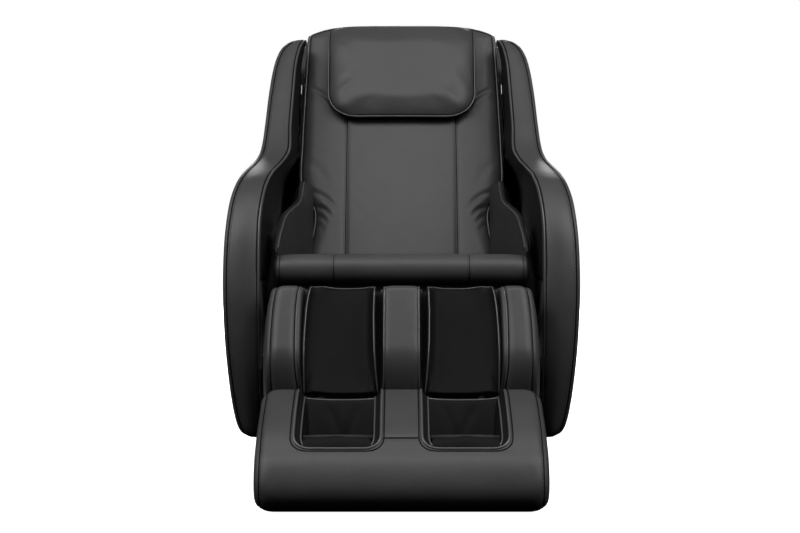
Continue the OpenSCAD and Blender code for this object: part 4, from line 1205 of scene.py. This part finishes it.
calf_pads()
calf_liners()
# Both panels are in the near-black leather: painted deep shade behind the calf pads and under the
# seat roll
slab("calf_backing", M["painted_deep_shade"], "leg_rest", 205, 22.4, 25.0, -5, 228, on_leg)
slab("seat_front_apron", M["painted_deep_shade"], "base", 268, -193, -188.5, 336, 428, stack)

# ---------------------------------------------------------------- foot unit

TOE_LIP, TOE_FOOT = (-625, 131), (-600, 5.5)
FOOT_OUTLINE = np.array([
    (-343, 168), (-350, 183), (-382, 198), (-415, 211), (-430, 220), (-448, 221), (-480, 213),
    (-512, 202), (-540, 190), (-571, 174), (-598, 156), TOE_LIP, (-645, 110), (-659, 82),
    (-664, 56), (-657, 32), (-636, 13), TOE_FOOT, (-500, 9), (-400, 10.5), (-366, 17),
    (-346, 38), (-339, 100)], float)
FOOT_MIDDLE = np.array([-500.0, 105.0])
FOOT_FLAT, FOOT_END = 246.0, 286.0
WELL_IN, WELL_OUT, WELL_CORNER = 40.0, 211.0, 30.0


def nearest(path, point):
    """Number of the path's point that is closest to a given one."""
    return int(np.argmin(np.hypot(path[:, 0] - point[0], path[:, 1] - point[1])))


def foot_paths():
    """Side outline as two (y, z) paths: over the top and front, and back underneath."""
    loop = spline(FOOT_OUTLINE, 10, closed=True)
    front_end = nearest(loop, TOE_FOOT)
    skin = resample(loop[: front_end + 1], 5.0)
    under = resample(np.vstack([loop[front_end:], loop[:1]]), 8.0)
    return skin, under


FOOT_SKIN, FOOT_UNDER = foot_paths()
FOOT_ARC = np.concatenate([[0], np.cumsum(np.linalg.norm(np.diff(FOOT_SKIN, axis=0), axis=1))])
LIP_ARC = FOOT_ARC[nearest(FOOT_SKIN, TOE_LIP)]
FOOT_ENDS = FOOT_END - (FOOT_END - FOOT_FLAT) * (1 - np.sin(np.linspace(0, 1, 12) * math.pi / 2))


def foot_inset(x):
    """How far the outline draws in towards the rounded ends."""
    e = np.clip((np.abs(x) - FOOT_FLAT) / (FOOT_END - FOOT_FLAT), 0, 1)
    return 32 * (1 - np.sqrt(np.maximum(1 - e**2.2, 0)))


def foot_point(x, outline):
    """Points of an outline where it stands at x."""
    x = np.asarray(x, float)
    v = outline - FOOT_MIDDLE
    k = 1 - foot_inset(x) / np.linalg.norm(v, axis=-1)
    return stack(x, FOOT_MIDDLE[0] + v[..., 0] * k, FOOT_MIDDLE[1] + v[..., 1] * k)


def on_foot(x, a):
    """Point of the skin, a being the way along it from its rear end."""
    return foot_point(x, np.stack([np.interp(a, FOOT_ARC, FOOT_SKIN[:, k]) for k in (0, 1)], -1))


def well_rim(offset=0.0):
    """Edge of the right well's opening, as (x, arc) pairs from its rear outer end."""
    xo, xi, r, bottom = WELL_OUT - offset, WELL_IN + offset, WELL_CORNER, LIP_ARC - offset
    turn = np.linspace(0, math.pi / 2, 14)
    pts = [(xo - 7, 0), (xo - 3, 20), (xo, 50)]
    pts += [(xo, k) for k in np.arange(60, bottom - r, 5.0)]
    pts += [(xo - r + r * math.cos(w), bottom - r + r * math.sin(w)) for w in turn]
    pts += [(k, bottom) for k in np.arange(xo - r - 5, xi + r, -5.0)]
    pts += [(xi + r - r * math.sin(w), bottom - r + r * math.cos(w)) for w in turn]
    pts += [(xi, k) for k in np.arange(bottom - r - 5, 0, -5.0)] + [(xi, 0)]
    return np.array(pts)


def in_well(x, a):
    """True inside either well's opening, which has two round corners at the toe."""
    ax = abs(x)
    if not (WELL_IN < ax < WELL_OUT) or a > LIP_ARC:
        return False
    qx = max(ax - (WELL_OUT - WELL_CORNER), (WELL_IN + WELL_CORNER) - ax, 0)
    qa = max(a - (LIP_ARC - WELL_CORNER), 0)
    return math.hypot(qx, qa) < WELL_CORNER or qx == 0 or qa == 0


def foot_skin():
    """Skin over the top and front, with its edge points moved onto the rims of the wells."""
    right = np.concatenate([np.arange(0, FOOT_FLAT, 5.0), FOOT_ENDS])
    xs = np.concatenate([-right[::-1], right[1:]])
    flat = np.array([(x, a) for x in xs for a in FOOT_ARC])
    m = len(FOOT_ARC)
    cells = []
    for i in range(len(xs) - 1):
        for j in range(m - 1):
            if not in_well((xs[i] + xs[i + 1]) / 2, (FOOT_ARC[j] + FOOT_ARC[j + 1]) / 2):
                cells.append((i * m + j, (i + 1) * m + j, (i + 1) * m + j + 1, i * m + j + 1))
    count = np.bincount(np.ravel(cells), minlength=len(flat))
    edge = resample(well_rim(), 4.0)
    both = np.vstack([edge, edge * np.array([-1, 1])])
    moved = flat.copy()
    for k in np.nonzero((count > 0) & (count < 4))[0]:
        x, a = flat[k]
        d = np.hypot(both[:, 0] - x, both[:, 1] - a)
        b = int(np.argmin(d))
        if d[b] < 8.0 and (a > 0.1 or WELL_IN - 6 < abs(x) < WELL_OUT + 6):
            moved[k] = both[b] if a > 0.1 else (both[b][0], 0)
    return on_foot(moved[:, 0], moved[:, 1]).tolist(), cells


def foot_side(sign):
    """Underside and rear of one side wall, and its crowned end."""
    cols = np.concatenate([[WELL_OUT], np.arange(WELL_OUT + 4, FOOT_FLAT, 5.0), FOOT_ENDS])
    cols = np.unique(cols)
    g = np.array([foot_point(np.full(len(FOOT_UNDER), x), FOOT_UNDER) for x in cols])
    g[..., 0] *= sign
    loop = np.vstack([FOOT_SKIN[:-1], FOOT_UNDER[:-1]])
    end = foot_point(np.full(len(loop), FOOT_END), loop)
    mid = end.mean(0)
    rings = [end] + [mid + (end - mid) * k + np.array([3.0 * (1 - k * k), 0, 0])
                     for k in (0.92, 0.8, 0.6, 0.4, 0.2)]
    m = len(loop)
    cap = grid_faces(len(rings), m, wrap=True) + [tuple(5 * m + j for j in range(m))]
    return [(g.reshape(-1, 3).tolist(), grid_faces(len(cols), len(FOOT_UNDER))),
            ((np.vstack(rings) * np.array([sign, 1, 1])).tolist(), cap)]


def foot_strip(profile, half, step):
    """Straight strip across the middle, along a (y, z) profile."""
    p = np.array(profile, float)
    cols = np.arange(-half, half + 1, step)
    g = np.array([stack(x, p[:, 0], p[:, 1]) for x in cols])
    return g.reshape(-1, 3).tolist(), grid_faces(len(cols), len(p))


def foot_cover():
    """Leather cover of the foot unit with its piping, near-black cords that paint the shade of its
    seams, and stitches.
    """
    parts = [foot_skin()] + foot_side(-1) + foot_side(1)
    # Lower end of the front, turned in under the unit, and the rear end of the middle wall
    parts.append(foot_strip([TOE_FOOT, (-590, 9), (-584, 18), (-582, 34)], WELL_OUT, 12.0))
    parts.append(foot_strip([(-343, 168), (-352, 160), (-366, 150), (-372, 120), (-380, 84)],
                            WELL_IN, 8.0))
    verts, faces = merged(parts)
    cover = make("foot_cover", verts, faces, M["leather"])
    flips = [np.array([s, 1, 1]) for s in (-1, 1)]
    edge = resample(well_rim(), 4.0)
    rims = [on_foot(edge[:, 0], edge[:, 1]) * flip for flip in flips]
    loop = np.vstack([resample(FOOT_SKIN, 6.0), resample(FOOT_UNDER, 8.0)])
    outer = [foot_point(np.full(len(loop), 274.5), loop) * flip for flip in flips]
    across = np.arange(-WELL_IN + 3, WELL_IN - 2, 4.0)
    cross = np.array([on_foot(np.array(x), LIP_ARC - 26) for x in across])
    press(cover, rims, 1.0, 5.0)
    press(cover, outer, 1.8, 3.4)
    press(cover, [cross], 1.6, 3.0)
    finish_piece(cover, "foot_unit")
    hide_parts("left_foot_pad", "right_foot_pad", "foot_divider", "toe_bumper")
    piping("foot_rim_piping", cover, rims, "foot_unit", 2.5, 0.8)
    around = resample(well_rim(-6.0), 5.0)
    welts = [on_foot(around[:, 0], around[:, 1]) * flip for flip in flips]
    piping("foot_seam_cords", cover, outer + [cross] + welts, "foot_unit", 1.4, 0.2, M["cord"])
    rows = [o - np.array([5.0 * s, 0, 0]) for o, s in zip(outer, (-1, 1))]
    stitches("foot_stitches", cover, rows, "foot_unit")


def well_liners():
    """Padded walls of the wells, hung from the openings."""
    steps = [(-1, 0.5), (2, 3), (6, 8), (10, 12), (13, 15), (15, 19), (16, 28), (18, 50), (20, 80)]
    even = np.linspace(0, 1, 120)
    for side, sign in SIDES:
        flip = np.array([sign, 1, 1])
        rows = []
        for inward, drop in steps:
            rim = resample(well_rim(inward), 4.0)
            at = np.linspace(0, 1, len(rim))
            p = on_foot(*[np.interp(even, at, rim[:, k]) for k in (0, 1)])
            p[:, 2] = np.maximum(p[:, 2] - drop, 30)
            rows.append(p * flip)
        low = rows[-1].copy()
        low[:, 2] = 24
        low[:, 1] = np.clip(low[:, 1], -588, -372)
        rows += [(rows[-1] + low) / 2, low]
        g = np.array(rows)
        obj = make(f"{side}_well_liner", g.reshape(-1, 3), grid_faces(*g.shape[:2]),
                   M["painted_deep_shade"], "foot_unit")
        thicken(obj, 3)
        line = rows[4]
        across = np.abs(line[:, 0])
        walls = [line[across > WELL_OUT - 26], line[across < WELL_IN + 26]]
        piping(f"{side}_well_piping", obj, walls, "foot_unit", 1.8, 0.6)


def heel_pad(side, flip):
    """Crowned pad behind the heel, with two soft folds."""
    xs = np.linspace(46, 204, 44)
    downs = np.concatenate([[242, 243.5, 246, 250], np.arange(255, 362, 5.0), [364]])
    x, d = np.meshgrid(xs, downs)
    cross = np.clip(1 - ((x - 125) / 79) ** 2, 0, 1)
    fold = 5.0 * np.exp(-(((x - 150) + (d - 262) * 0.45) / 10) ** 2) * ramp(d, 246, 275)
    fold2 = 4.0 * np.exp(-(((x - 92) - (d - 262) * 0.35) / 9) ** 2) * ramp(d, 246, 275)
    rise = 34.5 + 16 * (1 - cross) ** 1.5 + 6 * ramp(d, 330, 364) - fold * 0.6 - fold2 * 0.5
    rise = rise + 3 - 6 * np.clip((246 - d) / 4, 0, 1) ** 2
    g = on_leg(x, rise, d) * flip
    obj = make(f"{side}_heel_pad", g.reshape(-1, 3), grid_faces(*x.shape), M["painted_deep_shade"],
               "foot_unit")
    thicken(obj, 4)
    piping(f"{side}_heel_piping", obj, [g[0]], "foot_unit", 1.9, 0.3)


def toe_pad(side, flip):
    """Pad behind the toe lip, with a gently waved top edge."""
    xs = np.linspace(60, 192, 46)
    wave = 1.8 * np.cos((xs - 126) / 132 * 4 * math.pi) - 7.5 * np.abs((xs - 126) / 66) ** 4
    section = spline([(-612, 96), (-615, 116), (-611, 134), (-603, 147), (-594, 150),
                      (-584, 139), (-578, 122), (-576, 80), (-576, 40)], 5)
    up = np.clip((section[:, 1] - 80) / 60, 0, 1)
    g = np.array([stack(x, section[:, 0], section[:, 1] + w * up) for x, w in zip(xs, wave)]) * flip
    obj = make(f"{side}_toe_pad", g.reshape(-1, 3), grid_faces(*g.shape[:2]), M["painted_deep_shade"],
               "foot_unit")


def sole_pad(side, flip):
    """Crowned pad under the sole, with three slots for the ribbed rollers."""
    x, o = np.meshgrid(np.linspace(41, 207, 84), np.linspace(37, 187, 84))
    d = 367 + 3.0 * (np.abs((x - 124) / 83) ** 4) + 3.0 * (np.abs((o - 120) / 83) ** 4)
    n, m = x.shape
    cells = []
    for i in range(n - 1):
        for j in range(m - 1):
            cx, co = (x[i, j] + x[i, j + 1]) / 2, (o[i, j] + o[i + 1, j]) / 2
            if not (76 < co < 128 and min(abs(cx - k) for k in (82, 124, 166)) < 10):
                cells.append((i * m + j, i * m + j + 1, (i + 1) * m + j + 1, (i + 1) * m + j))
    g = on_leg(x, o, d) * flip
    obj = make(f"{side}_sole_pad", g.reshape(-1, 3), cells, M["sole"], "foot_unit")
    thicken(obj, 8)
    if side == "left":
        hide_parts("sole_pads")


foot_cover()
well_liners()
for side, sign in SIDES:
    for pad in (heel_pad, toe_pad, sole_pad):
        pad(side, np.array([sign, 1, 1]))

# ---------------------------------------------------------------- CAD nodes' materials

FINISH = {
    "rubber": ["rubber_feet", "left_wheel", "right_wheel", "carriage_runners"],
    "frame": ["floor_frame", "seat_frame", "hinge_plates", "arm_brackets", "actuator_brackets",
              "back_frame", "leg_frame", "carriage_frame"],
    "zinc": ["equipment_tray", "travel_motor", "kneading_motor", "air_pump", "guide_rails"],
    "bright": ["hinge_pins", "arm_bolts", "wheel_axle", "lead_screw", "kneading_shaft",
               "slide_rods", "back_actuator_rod", "leg_actuator_rod"],
    "board": ["seat_board"],
    "shell": ["rear_base_cover", "back_shell", "leg_shell", "foot_tray", "left_massage_arm",
              "right_massage_arm"],
    "equipment": ["control_box", "inlet_panel", "back_actuator_body", "leg_actuator_body"],
    "switch": ["rocker_switch"],
    "roller": ["left_upper_roller", "left_lower_roller", "right_upper_roller",
               "right_lower_roller", "foot_rollers"],
}
for key, names in FINISH.items():
    for name in names:
        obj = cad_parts[name]
        obj.data.materials.clear()
        obj.data.materials.append(M[key])

# ---------------------------------------------------------------- camera, floor, light

camera_data = bpy.data.cameras.new("camera")
camera_data.sensor_width = 36.0
camera_data.lens = 69.48
camera_data.shift_x = -0.001875
camera = bpy.data.objects.new("camera", camera_data)
camera.location = (0.0, -3.585, 0.650)
camera.rotation_euler = (math.radians(90 - 3.2), 0, 0)
bpy.context.collection.objects.link(camera)
bpy.context.scene.camera = camera

floor_mat, _, floor_bsdf = shader("studio_floor", 0.9)
floor_bsdf.inputs["Base Color"].default_value = (0.9, 0.9, 0.9, 1)
floor_bsdf.inputs["Emission Color"].default_value = (1, 1, 1, 1)
floor_bsdf.inputs["Emission Strength"].default_value = 1.0
bpy.ops.mesh.primitive_plane_add(size=40)
floor = bpy.context.object
floor.name = "studio_floor"
floor.data.materials.append(floor_mat)
floor.visible_diffuse = False
floor.visible_glossy = False

world = bpy.data.worlds.new("studio")
world.use_nodes = True
bpy.context.scene.world = world
tree = world.node_tree
background = tree.nodes["Background"]
co = node(tree, "ShaderNodeTexCoord")
split = node(tree, "ShaderNodeSeparateXYZ")
link(tree, co, "Generated", split, "Vector")
height = node(tree, "ShaderNodeMapRange")
height.inputs["From Min"].default_value = -0.05
height.inputs["From Max"].default_value = 0.9
height.inputs["To Min"].default_value = 0.0
height.inputs["To Max"].default_value = 0.22
link(tree, split, "Z", height, "Value")
path = node(tree, "ShaderNodeLightPath")
pick = node(tree, "ShaderNodeMath", operation="MAXIMUM")
link(tree, path, "Is Camera Ray", pick, 0)
link(tree, height, "Result", pick, 1)
link(tree, pick, 0, background, "Strength")
background.inputs["Color"].default_value = (1, 1, 1, 1)


def area(name, place, target, size, power):
    """Rectangular softbox that faces a target."""
    data = bpy.data.lights.new(name, "AREA")
    data.shape = "RECTANGLE"
    data.size, data.size_y = size
    data.energy = power
    obj = bpy.data.objects.new(name, data)
    obj.location = place
    obj.rotation_euler = (Vector(target) - Vector(place)).to_track_quat("-Z", "Y").to_euler()
    bpy.context.collection.objects.link(obj)


area("key_softbox", (0.0, -2.3, 4.4), (0, 0, 0.6), (3.0, 1.8), 62)
for side, sign in SIDES:
    area(f"{side}_high_softbox", (2.6 * sign, -1.9, 3.6), (0.2 * sign, 0, 0.7), (1.2, 1.6), 50)
    area(f"{side}_low_softbox", (3.4 * sign, -1.6, 2.4), (0, 0, 0.7), (1.4, 2.0), 36)
area("rear_softbox", (0.0, 4.2, 1.5), (0, 0, 0.6), (3.0, 2.0), 190)

bpy.context.scene.view_settings.view_transform = "Standard"
